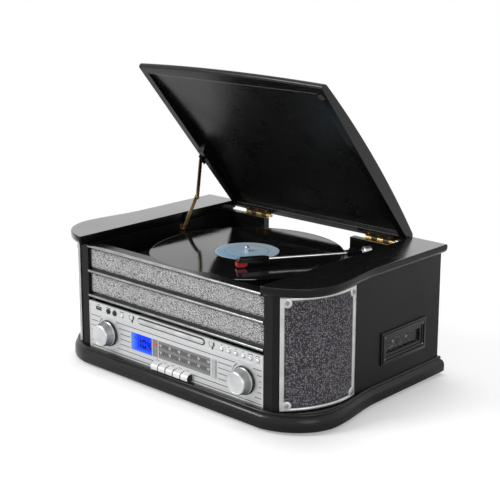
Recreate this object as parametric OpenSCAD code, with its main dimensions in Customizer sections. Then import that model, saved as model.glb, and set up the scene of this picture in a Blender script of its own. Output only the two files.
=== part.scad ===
/* [Case] */
// Depth from the fascia plane to the back of the plinth
case_d = 341; // [310:1:380]
// Height of the wing tops above the floor
case_h = 208; // [190:1:230]
// Thickness of the wing tops
wing_t = 14; // [10:0.5:18]
// Thickness of the moulded plinth
plinth_t = 26; // [18:1:32]
// Height of the rubber feet
foot_h = 4; // [2:0.5:8]
// Radius of the plinth's moulded upper edge
plinth_round = 5; // [3:0.5:12]
// Half width between the two inner partitions
bay_half = 183; // [175:1:200]
// Thickness of the inner partitions, whose front edges are the pillars
pillar_w = 16; // [10:1:20]
// Width of the speaker compartment outside each partition
speaker_w = 44; // [40:0.5:60]
// Thickness of the side panels
panel_t = 12; // [8:1:14]

/* [Front] */
// Height of the control fascia
fascia_h = 75; // [68:1:84]
// Thickness of the control fascia
fascia_t = 3; // [2:0.5:4]
// Height of a trim rail
rail_h = 4; // [3:0.5:6]
// Radius of the knob skirts
knob_r = 20.5; // [14:0.5:22]
// How far the knobs stand out of the fascia
knob_out = 20; // [15:1:24]
// Radius of the small push buttons
button_r = 2.9; // [2:0.1:3.4]
// Pitch of the function keys
key_pitch = 15.8; // [14:0.2:18]
// Width of a function key
key_w = 14.4; // [11:0.2:15.4]
// Half width of the disc drawer's front
drawer_half = 69; // [68:1:76]

/* [Speakers] */
// Radius of the curved baffles
baffle_r = 115; // [108:1:122]
// Thickness of the curved baffles
baffle_t = 7; // [5:0.5:8]
// Radius of a driver's frame
driver_r = 40; // [30:1:44]

/* [Turntable] */
// Gap between the record and the front and rear walls of its well
record_gap = 1.25; // [1:0.25:6]
// Radius of the spindle
spindle_r = 3.58; // [3.4:0.02:3.7]
// Length of the tonearm from its pivot to the head's tip
arm_len = 184; // [176:1:190]
// Angle of the tonearm over the record at rest, from straight ahead
arm_turn = 33; // [24:1:42]

/* [Lid] */
// Opening angle of the lid at rest
lid_angle = 50; // [0:1:55]
// How far the front of the lid bows forward
lid_bow = 6; // [0:0.5:10]
// Height of the lid's crown above its lower face
lid_crown = 21.5; // [16:0.5:28]

/* [Clearances] */
// Radial clearance of a running shaft
run_gap = 0.05; // [0.02:0.01:0.1]
// Gap around a button, key or drawer in its opening
slot_gap = 0.4; // [0.2:0.1:0.8]

/* [Hidden] */
$fn = 72;
front_y = (knob_out - case_d) / 2;
plinth_top = foot_h + plinth_t;
wing_z = case_h - wing_t;
fascia_top = plinth_top + fascia_h;
fascia_half = bay_half - 0.4;
volume_x = -0.757 * bay_half;
tuning_x = 0.803 * bay_half;
knob_z = plinth_top + 31;
band_z = plinth_top + 66;
divider_z = plinth_top + 58;
key_x = 4;
key_z = plinth_top + 2;
drawer_z = band_z + 1;
disc_y = 78;
tray_back = 152;
back_face = case_d - 9.5;
rear_t = 12;
rear_y = back_face - rear_t;
side_half = bay_half + pillar_w + speaker_w;

small_x = bay_half * [-0.579, 0.568, 0.643, 0.718, 0.794, 0.869, 0.943];
usb_x = bay_half - 22.4;
jack_x = bay_half * [-0.7525, -0.673];
lcd_x = -63.3;
lcd_z = plinth_top + 32;
lcd_half = [22.8, 13.8];
dial_x = 21;
dial_z = plinth_top + 32.5;
dial_half = [60.3, 13.5];
board_y = 26;
low_rail_z = fascia_top + 6;
mid_rail_z = low_rail_z + rail_h + (wing_z - 2 * rail_h - low_rail_z - rail_h) / 2;
top_rail_z = wing_z - rail_h;
rail_back = 2.4;
sill_h = 2.8;
strip_y = 5.4;
strip_t = 1.8;
wall_y = fascia_t + 12;
ledge_y = 26;

speaker_x = side_half - 112.5;
speaker_y = 92;
baffle_from = -acos((bay_half + pillar_w - speaker_x) / baffle_r);
baffle_to = 14.2;
cloth_t = 1.5;
frame_from = -acos((bay_half + pillar_w + 9 - speaker_x) / (baffle_r + 2));
frame_to = 13.5;
driver_dir = -16;
driver_depth = speaker_w - 22.5;

deck_top = case_h - 46;
deck_t = 3;
record_x = -3;
record_y = (wall_y + rear_y) / 2;
record_r = record_y - wall_y - record_gap;
well_r = record_r + record_gap + 0.5;
platter_r = record_r - 11;
platter_z = deck_top + 3.5;
record_z = deck_top + 20;
shaft_r = spindle_r - 0.08;
ring_r = 0.6 * platter_r;
motor_dist = platter_r - 22;
motor_dir = 215;
motor_pos = [record_x + motor_dist * cos(motor_dir), record_y + motor_dist * sin(motor_dir)];
pulley_r = 5.5;
belt_t = 0.8;

arm_dist = record_r + 17.2;
arm_dir = 27.2;
arm_x = record_x + arm_dist * cos(arm_dir);
arm_y = record_y + arm_dist * sin(arm_dir);
arm_z = deck_top + 32;
park_turn = -1;
rest_at = 96;
head_len = 46;
speed_at = [bay_half - 18, record_y - 49];
cue_at = [bay_half - 11, arm_y - 51, deck_top + 11];

hinge_y = back_face + 2.8;
hinge_z = wing_z - 0.6;
lid_z = wing_z + 0.8;
lid_half = bay_half + 1.5;
lid_front = -12;
lid_back = back_face + 0.1;
lid_skin = 8;
lid_rail = 13;
knuckle_r = 2.4;
hinge_pin_r = 1;
hinge_x = [100, 157];

stay_anchor_at = [hinge_y - 131.3, deck_top + 19];
stay_lid_at = [hinge_y - 139.3, lid_z - 4.2];
stay_lower = 58.5;
stay_upper = 68;
stay_w = 8;
stay_pin_r = 2;
stay_t = 1.5;
stay_x = -(bay_half - 2.4);

stay_top = lid_point(stay_lid_at);
stay_d = norm(stay_top - stay_anchor_at);
stay_lean = acos((pow(stay_lower, 2) + pow(stay_d, 2) - pow(stay_upper, 2)) / (2 * stay_lower * stay_d));
stay_low_a = atan2(stay_top[1] - stay_anchor_at[1], stay_top[0] - stay_anchor_at[0]) - stay_lean;
stay_elbow = stay_anchor_at + stay_lower * [cos(stay_low_a), sin(stay_low_a)];

cassette_y = back_face - 92.5;
cassette_z = plinth_top + 49.5;
cassette_x = bay_half - 40;
window_half = [41, 9.5];
tunnel_half = [43, 12.5];
tunnel_t = 2;

case_bits = ["base_plinth", "rubber_feet", "inner_partitions", "side_panels", "rear_panel",
    "front_board", "speaker_baffles", "left_wing_top", "right_wing_top"];
front_bits = ["speaker_frames", "speaker_cloths", "speaker_drivers", "cloth_strips", "trim_rails",
    "control_fascia", "lcd_display", "dial_window", "dial_pointer", "front_sockets", "circuit_boards",
    "volume_knob", "tuning_knob", "cd_mechanism", "cd_drawer"];
key_bits = ["function_key_1", "function_key_2", "function_key_3", "function_key_4", "function_key_5",
    "power_button", "play_button", "stop_button", "back_button", "skip_button", "memory_button",
    "eject_button"];
deck_bits = ["turntable_deck", "platter", "centre_spindle", "vinyl_record", "drive_motor",
    "motor_pulley", "drive_belt", "tonearm_base", "tonearm_gimbal", "tonearm", "stylus_cartridge",
    "cue_lever", "speed_lever"];
lid_bits = ["lid_panel", "hinge_lid_leaves", "hinge_fixed_leaves", "stay_lid_bracket", "stay_upper_arm",
    "stay_lower_arm", "stay_anchor"];
side_bits = ["cassette_bezel", "cassette_door", "cassette_mechanism", "rear_sockets"];

function unit(v) = v / norm(v);
function bezier(p, t) = pow(1 - t, 3) * p[0] + 3 * t * pow(1 - t, 2) * p[1]
    + 3 * t * t * (1 - t) * p[2] + pow(t, 3) * p[3];
function curve(p, n) = [for (i = [0 : n - 1]) bezier(p, i / n)];
function mirrored(p) = [for (i = [len(p) - 1 : -1 : 0]) [-p[i][0], p[i][1]]];
function miter(p, i) =
    let (n = len(p), a = p[(i + n - 1) % n], b = p[i], c = p[(i + 1) % n])
    let (u = unit(b - a), v = unit(c - b), nu = [u[1], -u[0]], nv = [v[1], -v[0]])
    (nu + nv) / (1 + nu * nv);
function inset(p, r) = [for (i = [0 : len(p) - 1]) p[i] - miter(p, i) * (is_list(r) ? r[i] : r)];
function lid_point(p) =
    let (y = p[0] - hinge_y, z = p[1] - hinge_z)
    [hinge_y + y * cos(lid_angle) + z * sin(lid_angle), hinge_z - y * sin(lid_angle) + z * cos(lid_angle)];
function level(p, z) = [for (i = [0 : len(p) - 1]) [p[i][0], p[i][1], is_list(z) ? z[i] : z]];

// A closed solid through a stack of equal rings of points
module loft(rings) {
    n = len(rings[0]);
    k = len(rings);
    walls = [for (j = [0 : k - 2], i = [0 : n - 1])
        let (a = j * n + i, b = j * n + (i + 1) % n) each [[a, a + n, b + n], [a, b + n, b]]];
    caps = [[for (i = [0 : n - 1]) i], [for (i = [n - 1 : -1 : 0]) (k - 1) * n + i]];
    polyhedron([for (r = rings) each r], concat(walls, caps), convexity = 6);
}

// A board with rounded edges: one radius per outline point and one step count for its lower and upper edge
module rounded_board(outline, low, high, z0, z1, steps) {
    lower = [for (j = [0 : steps[0]]) let (a = 90 * j / steps[0])
        level(inset(outline, low * (1 - sin(a))), [for (r = low) z0 + r * (1 - cos(a))])];
    upper = [for (j = [0 : steps[1]]) let (a = 90 * j / steps[1])
        level(inset(outline, high * (1 - cos(a))), [for (r = high) z1 - r * (1 - sin(a))])];
    loft(concat(lower, upper));
}

module from_front() {
    translate([0, front_y, 0]) children();
}

module both_sides() {
    for (s = [0, 1]) mirror([s, 0, 0]) children();
}

// A box given by its low and high corners
module box(low, high) {
    translate(low) cube(high - low);
}

// A pin along X, from x0 to x1
module pin_x(x0, x1, y, z, r) {
    translate([x0, y, z]) rotate([0, 90, 0]) cylinder(h = x1 - x0, r = r);
}

// A pin along Y, from y0 to y1
module pin_y(y0, y1, x, z, r) {
    translate([x, y1, z]) rotate([90, 0, 0]) cylinder(h = y1 - y0, r = r);
}

// A curved wall of the speaker corner between two radii
module corner_wall(r0, r1, from, to, z0, z1) {
    translate([speaker_x, speaker_y, z0]) rotate([0, 0, from])
        rotate_extrude(angle = to - from, $fn = 144) translate([r0, 0]) square([r1 - r0, z1 - z0]);
}

// Turns what is drawn along +Z so that it faces out of the speaker corner
module facing_out(r, z) {
    translate([speaker_x, speaker_y, z]) rotate([0, 0, driver_dir]) translate([r, 0, 0])
        rotate([0, 90, 0]) children();
}

// Right half of the bulging outline, from the front to the back
function bulge(x0, grow, back) = concat(
    curve([[x0, -12.5], [x0 + 42, -5.5], [side_half + 17.5 + grow, 28], [side_half + 17.5 + grow, 66]], 14),
    curve([[side_half + 17.5 + grow, 66], [side_half + 17.5 + grow, 104], [side_half + 7, 130],
        [side_half + 7, 170]], 10),
    [[side_half + 7, 170], [side_half + 7, back]]);

module base_plinth() {
    right = bulge(bay_half + 3, 1, case_d);
    outline = concat(right, mirrored(right));
    rim = [for (p = outline) plinth_round];
    foot = [for (p = outline) 3];
    color([0.05, 0.05, 0.05]) from_front() rounded_board(outline, foot, rim, foot_h, plinth_top, [2, 4]);
}

module rubber_feet() {
    color([0.08, 0.08, 0.08]) from_front() both_sides() for (y = [24, case_d - 40])
        translate([side_half - 33, y, 0]) cylinder(h = foot_h, r1 = 10, r2 = 12);
}

module inner_partitions() {
    cut_y = cassette_y - tunnel_half[0] - tunnel_t - slot_gap;
    cut_z = cassette_z - tunnel_half[1] - tunnel_t - slot_gap;
    color([0.05, 0.05, 0.05]) from_front() {
        both_sides() box([bay_half - 9, 20, deck_top - deck_t - 12], [bay_half, rear_y, deck_top - deck_t]);
        mirror([1, 0, 0]) box([bay_half, 0, plinth_top], [bay_half + pillar_w, rear_y, wing_z]);
        difference() {
            box([bay_half, 0, plinth_top], [bay_half + pillar_w, rear_y, wing_z]);
            box([bay_half - 1, cut_y, cut_z],
                [bay_half + pillar_w + 1, 2 * cassette_y - cut_y, 2 * cassette_z - cut_z]);
        }
    }
}

module side_panels() {
    cut_y = cassette_y - tunnel_half[0] - tunnel_t - slot_gap;
    cut_z = cassette_z - tunnel_half[1] - tunnel_t - slot_gap;
    color([0.05, 0.05, 0.05]) from_front() difference() {
        both_sides() box([side_half - panel_t, speaker_y + 28.4, plinth_top],
            [side_half, back_face, wing_z]);
        box([side_half - panel_t - 1, cut_y, cut_z],
            [side_half + 1, 2 * cassette_y - cut_y, 2 * cassette_z - cut_z]);
    }
}

module rear_panel() {
    inner = side_half - panel_t;
    color([0.05, 0.05, 0.05]) from_front() difference() {
        union() {
            box([-inner, rear_y, plinth_top], [inner, back_face, wing_z - 2]);
            both_sides() box([bay_half + 4, rear_y, plinth_top], [inner, back_face, wing_z]);
        }
        box([-104, rear_y - 1, deck_top + 3], [79, back_face + 1, wing_z + 1]);
        box([-56, rear_y - 1, plinth_top + 20], [56, back_face + 1, plinth_top + 50]);
        box([-149, rear_y - 1, plinth_top + 22], [-111, back_face + 1, plinth_top + 48]);
        for (i = [0 : 8]) box([96 + 9 * i, rear_y - 1, plinth_top + 24],
            [99 + 9 * i, back_face + 1, plinth_top + 64]);
    }
}

// The wall behind the cloth strips: its sills carry the rails, and its top ledge is cut round for the record
module front_board() {
    board_y = strip_y + strip_t;
    color([0.04, 0.04, 0.04]) from_front() difference() {
        union() {
            box([-fascia_half, board_y, fascia_top + 1], [fascia_half, wall_y, wing_z - 2.5]);
            box([-fascia_half, wall_y - 0.2, deck_top], [fascia_half, ledge_y, wing_z - 2.5]);
            for (z = [low_rail_z, mid_rail_z]) translate([-fascia_half, 0, z])
                rotate([90, 0, 90]) linear_extrude(2 * fascia_half)
                    polygon([[rail_back, 0.4], [board_y + 0.2, 0.4], [board_y + 0.2, rail_h + sill_h],
                        [strip_y, rail_h + sill_h], [rail_back, rail_h - 0.4]]);
            box([-fascia_half, rail_back, top_rail_z + 0.4], [fascia_half, board_y + 0.2, wing_z - 0.8]);
        }
        translate([record_x, record_y, deck_top - 1]) cylinder(h = 60, r = well_r);
    }
}

module speaker_baffles() {
    mid = (plinth_top + wing_z) / 2;
    color([0.04, 0.04, 0.04]) from_front() both_sides() difference() {
        union() {
            corner_wall(baffle_r - baffle_t, baffle_r, baffle_from, baffle_to, plinth_top, wing_z);
            intersection() {
                facing_out(baffle_r - 15, mid) cylinder(h = 15, r = driver_r + 4);
                corner_wall(60, baffle_r - 1, baffle_from, baffle_to, plinth_top, wing_z);
            }
        }
        facing_out(baffle_r - 20, mid) cylinder(h = 40, r = driver_r - 4);
        box([bay_half, -10, plinth_top - 1], [bay_half + pillar_w, 30, wing_z + 1]);
    }
}

module wing_top() {
    inner = bay_half + 3;
    back = case_d - 4;
    outline = concat([[inner + 1.5, -12.4]], bulge(inner + 3, 0, back),
        [[inner + 1.5, back], [inner, back - 1.5], [inner, -11]]);
    low = [for (p = outline) p[0] < inner + 2 ? 1 : wing_t - 6];
    high = [for (p = outline) p[0] < inner + 2 ? 1 : 1.8];
    rounded_board(outline, low, high, wing_z, case_h, [4, 3]);
}

module left_wing_top() {
    color([0.05, 0.05, 0.05]) from_front() mirror([1, 0, 0]) wing_top();
}

module right_wing_top() {
    color([0.05, 0.05, 0.05]) from_front() wing_top();
}

module speaker_frames() {
    r0 = baffle_r + cloth_t + 0.2;
    r1 = r0 + 3.3;
    z0 = plinth_top + 1;
    z1 = wing_z - 1;
    color([0.72, 0.73, 0.74]) from_front() both_sides() {
        difference() {
            corner_wall(r0, r1, frame_from, frame_to, z0, z1);
            corner_wall(r0 - 1, r1 + 1, frame_from + 3, frame_to - 3, z0 + 5, z1 - 5);
        }
        for (z = [z0 + 8, z1 - 8], a = [frame_from + 4.6, frame_to - 4.6])
            translate([speaker_x, speaker_y, z]) rotate([0, 0, a])
                translate([r0 + 0.2, 0, 0]) rotate([0, 90, 0]) cylinder(h = r1 - r0, r = 6.4);
    }
}

module speaker_cloths() {
    color([0.5, 0.49, 0.52]) from_front() both_sides()
        corner_wall(baffle_r + 0.1, baffle_r + 0.1 + cloth_t, frame_from, frame_to,
            plinth_top + 1, wing_z - 1);
}

module speaker_drivers() {
    mid = (plinth_top + wing_z) / 2;
    color([0.15, 0.15, 0.16]) from_front() both_sides() facing_out(baffle_r - 15, mid) {
        difference() {
            translate([0, 0, -3]) cylinder(h = 3, r = driver_r);
            translate([0, 0, -4]) cylinder(h = 5, r = driver_r - 7);
        }
        difference() {
            translate([0, 0, -16]) cylinder(h = 16, r1 = 16, r2 = driver_r - 4);
            translate([0, 0, -14.6]) cylinder(h = 15.6, r1 = 14, r2 = driver_r - 5.2);
        }
        translate([0, 0, -15]) cylinder(h = 5, r = 12);
        translate([0, 0, -driver_depth]) cylinder(h = driver_depth - 14.7, r = 20);
    }
}

module cloth_strips() {
    color([0.75, 0.75, 0.74]) from_front()
        for (span = [[low_rail_z, mid_rail_z], [mid_rail_z, top_rail_z]])
            box([-fascia_half, strip_y, span[0] + rail_h + sill_h],
                [fascia_half, strip_y + strip_t, span[1] + 0.4]);
}

// Three rails with a bevelled bead in front
module trim_rails() {
    color([0.75, 0.76, 0.77]) from_front() for (z = [low_rail_z, mid_rail_z, top_rail_z])
        translate([-fascia_half, 0, z]) rotate([90, 0, 90]) linear_extrude(2 * fascia_half)
            polygon([[rail_back, 0], [rail_back, rail_h], [0.2, rail_h], [-0.8, rail_h - 0.3],
                [-1.6, rail_h - 1.2], [-1.6, 1.2], [-0.8, 0.3], [0.2, 0]]);
}

module control_fascia() {
    rim = 1.4;
    bottom = plinth_top + 0.2;
    color([0.76, 0.77, 0.78]) from_front() {
        difference() {
            box([-fascia_half, 0, bottom], [fascia_half, fascia_t, fascia_top]);
            for (x = [volume_x, tuning_x]) pin_y(-1, fascia_t + 1, x, knob_z, 5);
            for (x = small_x) pin_y(-1, fascia_t + 1, x, band_z, button_r + slot_gap);
            box([-drawer_half - slot_gap, -1, drawer_z - 3.9],
                [drawer_half + slot_gap, fascia_t + 1, drawer_z + 3.9]);
            box([lcd_x - lcd_half[0], -1, lcd_z - lcd_half[1]],
                [lcd_x + lcd_half[0], fascia_t + 1, lcd_z + lcd_half[1]]);
            box([dial_x - dial_half[0], -1, dial_z - dial_half[1]],
                [dial_x + dial_half[0], fascia_t + 1, dial_z + dial_half[1]]);
            for (i = [-2 : 2]) let (x = key_x + i * key_pitch)
                box([x - key_w / 2 - slot_gap, -1, key_z - slot_gap],
                    [x + key_w / 2 + slot_gap, fascia_t + 1, key_z + 10 + slot_gap]);
            box([-usb_x - 6.6, -1, band_z - 3], [6.6 - usb_x, fascia_t + 1, band_z + 3]);
            for (x = jack_x) pin_y(-1, fascia_t + 1, x, band_z, 3.4);
        }
        for (z = [bottom, divider_z - rim / 2, fascia_top - rim])
            box([-fascia_half, -0.6, z], [fascia_half, 0.1, z + rim]);
        both_sides() box([fascia_half - rim, -0.6, bottom], [fascia_half, 0.1, fascia_top]);
        box([dial_x + dial_half[0] + 4, -1.2, dial_z - dial_half[1]],
            [dial_x + dial_half[0] + 11.5, 0.2, dial_z + dial_half[1]]);
        both_sides() box([fascia_half - 1, fascia_t - 0.2, bottom], [fascia_half, fascia_t + 9, fascia_top]);
        both_sides() {
            pin_y(-1.4, 0.2, drawer_half + 15.5, band_z + 2.8, 3.8);
            translate([drawer_half + 15.5, -1.4, band_z - 5.5]) rotate([-90, 0, 0]) linear_extrude(1.6)
                polygon([[-2.6, 0], [2.6, 0], [0.7, -2], [0.7, -7], [-0.7, -7], [-0.7, -2]]);
        }
    }
}

module lcd_display() {
    color([0.25, 0.4, 0.85]) from_front() {
        box([lcd_x - lcd_half[0] + 0.2, 0.9, lcd_z - lcd_half[1] + 0.2],
            [lcd_x + lcd_half[0] - 0.2, fascia_t + 1, lcd_z + lcd_half[1] - 0.2]);
        box([lcd_x - lcd_half[0] - 3, fascia_t, lcd_z - lcd_half[1] - 3],
            [lcd_x + lcd_half[0], fascia_t + 6, lcd_z + lcd_half[1] + 3]);
    }
}

module dial_window() {
    color([0.6, 0.62, 0.65, 0.5]) from_front() {
        box([dial_x - dial_half[0] + 0.2, 0.8, dial_z - dial_half[1] + 0.2],
            [dial_x + dial_half[0] - 0.2, fascia_t + 0.2, dial_z + dial_half[1] - 0.2]);
        box([dial_x - dial_half[0] + 0.2, fascia_t, dial_z - dial_half[1] - 2],
            [dial_x + dial_half[0] + 2, fascia_t + 1.2, dial_z + dial_half[1] + 2]);
    }
}

module dial_pointer() {
    rod_z = dial_z + dial_half[1] + 5;
    color([0.85, 0.1, 0.08]) from_front() difference() {
        union() {
            box([dial_x - 0.6, fascia_t + 2.2, dial_z - dial_half[1] + 2],
                [dial_x + 0.6, fascia_t + 3.4, rod_z]);
            box([dial_x - 4, fascia_t + 2.2, rod_z - 2.4], [dial_x + 4, fascia_t + 7, rod_z + 2.4]);
        }
        pin_x(dial_x - 5, dial_x + 5, fascia_t + 4.8, rod_z, 1 + run_gap);
    }
}

module front_sockets() {
    color([0.7, 0.7, 0.72]) from_front() {
        difference() {
            box([-usb_x - 6.2, 0.3, band_z - 2.7], [6.2 - usb_x, fascia_t + 13, band_z + 2.7]);
            box([-usb_x - 5.6, -1, band_z - 2.1], [5.6 - usb_x, fascia_t + 11, band_z + 2.1]);
        }
        box([-usb_x - 4.8, 1.2, band_z + 0.1], [4.8 - usb_x, fascia_t + 11.5, band_z + 1.5]);
        for (x = jack_x) difference() {
            union() {
                pin_y(-1.2, fascia_t + 1, x, band_z, 3.2);
                pin_y(-1.2, -0.1, x, band_z, 4.2);
                box([x - 5, fascia_t, band_z - 5], [x + 5, fascia_t + 15, band_z + 5]);
            }
            pin_y(-2, fascia_t + 12, x, band_z, 1.8);
        }
    }
}

module circuit_boards() {
    rod_z = dial_z + dial_half[1] + 5;
    x0 = dial_x - dial_half[0] - 1;
    x1 = dial_x + dial_half[0] + 4;
    wide = bay_half - 11;
    inner = 0.535 * bay_half;
    far = rear_y - 19.5;
    posts = [[-wide + 7, divider_z - 3], [wide - 7, divider_z - 3],
        [-inner - 6, plinth_top + 10], [inner + 6, plinth_top + 10]];
    color([0.1, 0.35, 0.18]) from_front() {
        for (p = posts) pin_y(fascia_t, board_y + 0.2, p[0], p[1], 3);
        box([-wide, board_y, plinth_top + 4], [wide, board_y + 1.6, plinth_top + 50]);
        box([-wide, board_y, plinth_top + 49], [-inner, board_y + 1.6, plinth_top + 70]);
        box([inner, board_y, plinth_top + 49], [bay_half - 2, board_y + 1.6, plinth_top + 70]);
        for (x = [volume_x, tuning_x]) difference() {
            union() {
                pin_y(14, board_y + 0.2, x, knob_z, 9);
                pin_y(8, 14.2, x, knob_z, 4.5);
            }
            pin_y(7, 22, x, knob_z, 3 + run_gap);
        }
        for (i = [-2 : 2]) let (x = key_x + i * key_pitch)
            box([x - 3, 21.4, key_z + 2], [x + 3, board_y + 0.2, key_z + 8]);
        for (x = small_x) box([x - 3, 12, band_z - 3], [x + 3, board_y + 0.2, band_z + 3]);
        box([dial_x - dial_half[0], fascia_t + 8, dial_z - dial_half[1] - 2],
            [dial_x + dial_half[0], fascia_t + 9, dial_z + dial_half[1]]);
        for (x = [x0, x1 - 3]) box([x, fascia_t + 3, rod_z - 2.5], [x + 3, board_y + 0.2, rod_z + 2.5]);
        for (x = [dial_x - 40, dial_x + 40])
            box([x - 3, fascia_t + 8.8, dial_z - 3], [x + 3, board_y + 0.2, dial_z + 3]);
        pin_x(x0, x1, fascia_t + 4.8, rod_z, 1);
        box([-120, far - 100, plinth_top + 6], [60, far, plinth_top + 7.6]);
        for (x = [-114, 54], y = [far - 94, far - 6]) translate([x, y, plinth_top]) cylinder(h = 6.2, r = 3);
        box([-104, far - 84, plinth_top + 7.4], [-60, far - 44, plinth_top + 42]);
        box([-20, far - 20, plinth_top + 7.4], [40, far - 16, plinth_top + 34]);
        for (x = [-40, -18]) translate([x, far - 68, plinth_top + 7.4]) cylinder(h = 24, r = 9);
    }
}

module knob() {
    cylinder(h = 2.2, r = knob_r);
    translate([0, 0, 2]) cylinder(h = 1, r1 = knob_r, r2 = knob_r - 1);
    translate([0, 0, 2.6]) cylinder(h = knob_out - 5.2, r1 = knob_r - 1.5, r2 = knob_r - 4);
    translate([0, 0, knob_out - 2.6]) cylinder(h = 1.6, r1 = knob_r - 4, r2 = knob_r - 5.4);
    translate([0, 0, -20]) cylinder(h = 21, r = 3);
}

module on_fascia(x, z, out) {
    from_front() translate([x, -out, z]) rotate([90, 0, 0]) children();
}

module volume_knob() {
    color([0.8, 0.8, 0.8]) on_fascia(volume_x, knob_z, 1) knob();
}

module tuning_knob() {
    color([0.8, 0.8, 0.8]) on_fascia(tuning_x, knob_z, 1) knob();
}

module function_key(i) {
    x = key_x + (i - 3) * key_pitch - key_w / 2;
    color([0.85, 0.85, 0.84]) from_front() {
        translate([x, 0, key_z]) rotate([90, 0, 90]) linear_extrude(key_w)
            polygon([[-9, 1.2], [-8, 0], [18, 0], [18, 10], [-4, 10], [-8.4, 6.6], [-9, 5.4]]);
        box([x, fascia_t + 0.4, key_z + 9.8], [x + key_w, fascia_t + 3.4, key_z + 11.6]);
    }
}

module function_key_1() {
    function_key(1);
}

module function_key_2() {
    function_key(2);
}

module function_key_3() {
    function_key(3);
}

module function_key_4() {
    function_key(4);
}

module function_key_5() {
    function_key(5);
}

module small_button(x) {
    color([0.75, 0.75, 0.76]) from_front() {
        pin_y(-2.4, 10, x, band_z, button_r);
        pin_y(-3, -2.3, x, band_z, button_r - 0.6);
        pin_y(fascia_t + 0.4, fascia_t + 2, x, band_z, button_r + 1.2);
    }
}

module power_button() {
    small_button(small_x[0]);
}

module play_button() {
    small_button(small_x[1]);
}

module stop_button() {
    small_button(small_x[2]);
}

module back_button() {
    small_button(small_x[3]);
}

module skip_button() {
    small_button(small_x[4]);
}

module memory_button() {
    small_button(small_x[5]);
}

module eject_button() {
    small_button(small_x[6]);
}

module cd_mechanism() {
    w = drawer_half + 3;
    color([0.35, 0.35, 0.37]) from_front() {
        difference() {
            box([-w - 2, fascia_t, drawer_z - 7.6], [w + 2, tray_back + 13, drawer_z + 7.4]);
            box([-w, fascia_t - 1, drawer_z - 6], [w, tray_back + 11, drawer_z + 5.8]);
        }
        both_sides() box([w - 3.4, fascia_t + 5, drawer_z - 5.2], [w + 0.2, tray_back + 8, drawer_z - 3.3]);
    }
}

module cd_drawer() {
    tray = drawer_half - 0.6;
    color([0.6, 0.6, 0.62]) from_front() difference() {
        union() {
            box([-drawer_half + 3.5, -2, drawer_z - 3.5],
                [drawer_half - 3.5, fascia_t + 0.4, drawer_z + 3.5]);
            both_sides() pin_y(-2, fascia_t + 0.4, drawer_half - 3.5, drawer_z, 3.5);
            box([-tray, fascia_t + 0.2, drawer_z - 3], [tray, tray_back, drawer_z + 2.5]);
        }
        translate([0, disc_y, drawer_z]) cylinder(h = 5, r = 60.5);
        translate([0, disc_y, drawer_z - 5]) cylinder(h = 10, r = 18);
        box([-18, disc_y, drawer_z - 5], [18, tray_back + 1, drawer_z + 5]);
    }
}

module turntable_deck() {
    color([0.06, 0.06, 0.06]) from_front() difference() {
        union() {
            box([-fascia_half, wall_y + 0.3, deck_top - deck_t], [fascia_half, rear_y - 0.3, deck_top]);
            translate([record_x, record_y, deck_top - 22]) cylinder(h = 23.5, r = 9);
            translate([record_x, record_y, deck_top - 1]) cylinder(h = 1.8, r = platter_r + 5);
            translate([speed_at[0], speed_at[1], deck_top - 0.2]) cylinder(h = 1, r = 11);
        }
        translate([record_x, record_y, deck_top - 20]) cylinder(h = 30, r = shaft_r + run_gap);
        difference() {
            translate([record_x, record_y, deck_top]) cylinder(h = 3, r = platter_r + 3);
            translate([record_x, record_y, deck_top - 1]) cylinder(h = 5, r = 14);
        }
        translate([motor_pos[0], motor_pos[1], deck_top - deck_t - 1]) cylinder(h = 6, r = pulley_r + 3);
        translate([speed_at[0], speed_at[1], deck_top - deck_t - 1]) cylinder(h = 6, r = 2 + run_gap);
        translate([arm_x, arm_y, deck_top - deck_t - 1]) cylinder(h = 6, r = 6);
    }
}

module platter() {
    mat_z = platter_z + 14.8;
    color([0.1, 0.1, 0.1]) from_front() translate([record_x, record_y, 0]) difference() {
        union() {
            difference() {
                union() {
                    translate([0, 0, platter_z + 9]) cylinder(h = 6, r = platter_r);
                    translate([0, 0, platter_z + 1.5]) cylinder(h = 8, r = platter_r);
                }
                translate([0, 0, platter_z - 3]) cylinder(h = 12, r = platter_r - 3.5);
            }
            difference() {
                translate([0, 0, platter_z]) cylinder(h = 9.2, r = ring_r);
                translate([0, 0, platter_z - 1]) cylinder(h = 10, r = ring_r - 4);
            }
            translate([0, 0, deck_top + 2]) cylinder(h = platter_z + 7.2 - deck_top, r = 9);
            translate([0, 0, mat_z]) cylinder(h = record_z - mat_z, r = platter_r - 2);
        }
        translate([0, 0, deck_top]) cylinder(h = 30, r = shaft_r + run_gap);
    }
}

// The bearing shaft under the record, and the thicker pin on which a record is centred
module centre_spindle() {
    pin_from = record_z + 2.2;
    color([0.75, 0.76, 0.78]) from_front() translate([record_x, record_y, 0]) {
        translate([0, 0, deck_top - 19]) cylinder(h = pin_from - deck_top + 19, r = shaft_r);
        translate([0, 0, pin_from]) cylinder(h = 5.8, r = spindle_r);
        translate([0, 0, pin_from + 5.8]) cylinder(h = 1.8, r1 = spindle_r, r2 = spindle_r - 1.6);
    }
}

module vinyl_record() {
    color([0.02, 0.02, 0.02]) from_front() translate([record_x, record_y, record_z]) difference() {
        union() {
            cylinder(h = 1.6, r = record_r);
            cylinder(h = 1.9, r = record_r / 3);
            cylinder(h = 1.9, r = 17);
        }
        translate([0, 0, -1]) cylinder(h = 5, r = spindle_r + 0.06);
        translate([0, 0, 1.6]) difference() {
            cylinder(h = 1, r = record_r - 2);
            translate([0, 0, -0.1]) cylinder(h = 2, r = record_r / 3);
        }
    }
}

module drive_motor() {
    color([0.6, 0.6, 0.62]) from_front() translate([motor_pos[0], motor_pos[1], 0]) difference() {
        union() {
            translate([0, 0, deck_top - 30]) cylinder(h = 24, r = 17);
            translate([0, 0, deck_top - 6.2]) cylinder(h = 3.2, r = 21);
        }
        translate([0, 0, deck_top - 18]) cylinder(h = 20, r = 1.5 + run_gap);
    }
}

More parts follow.
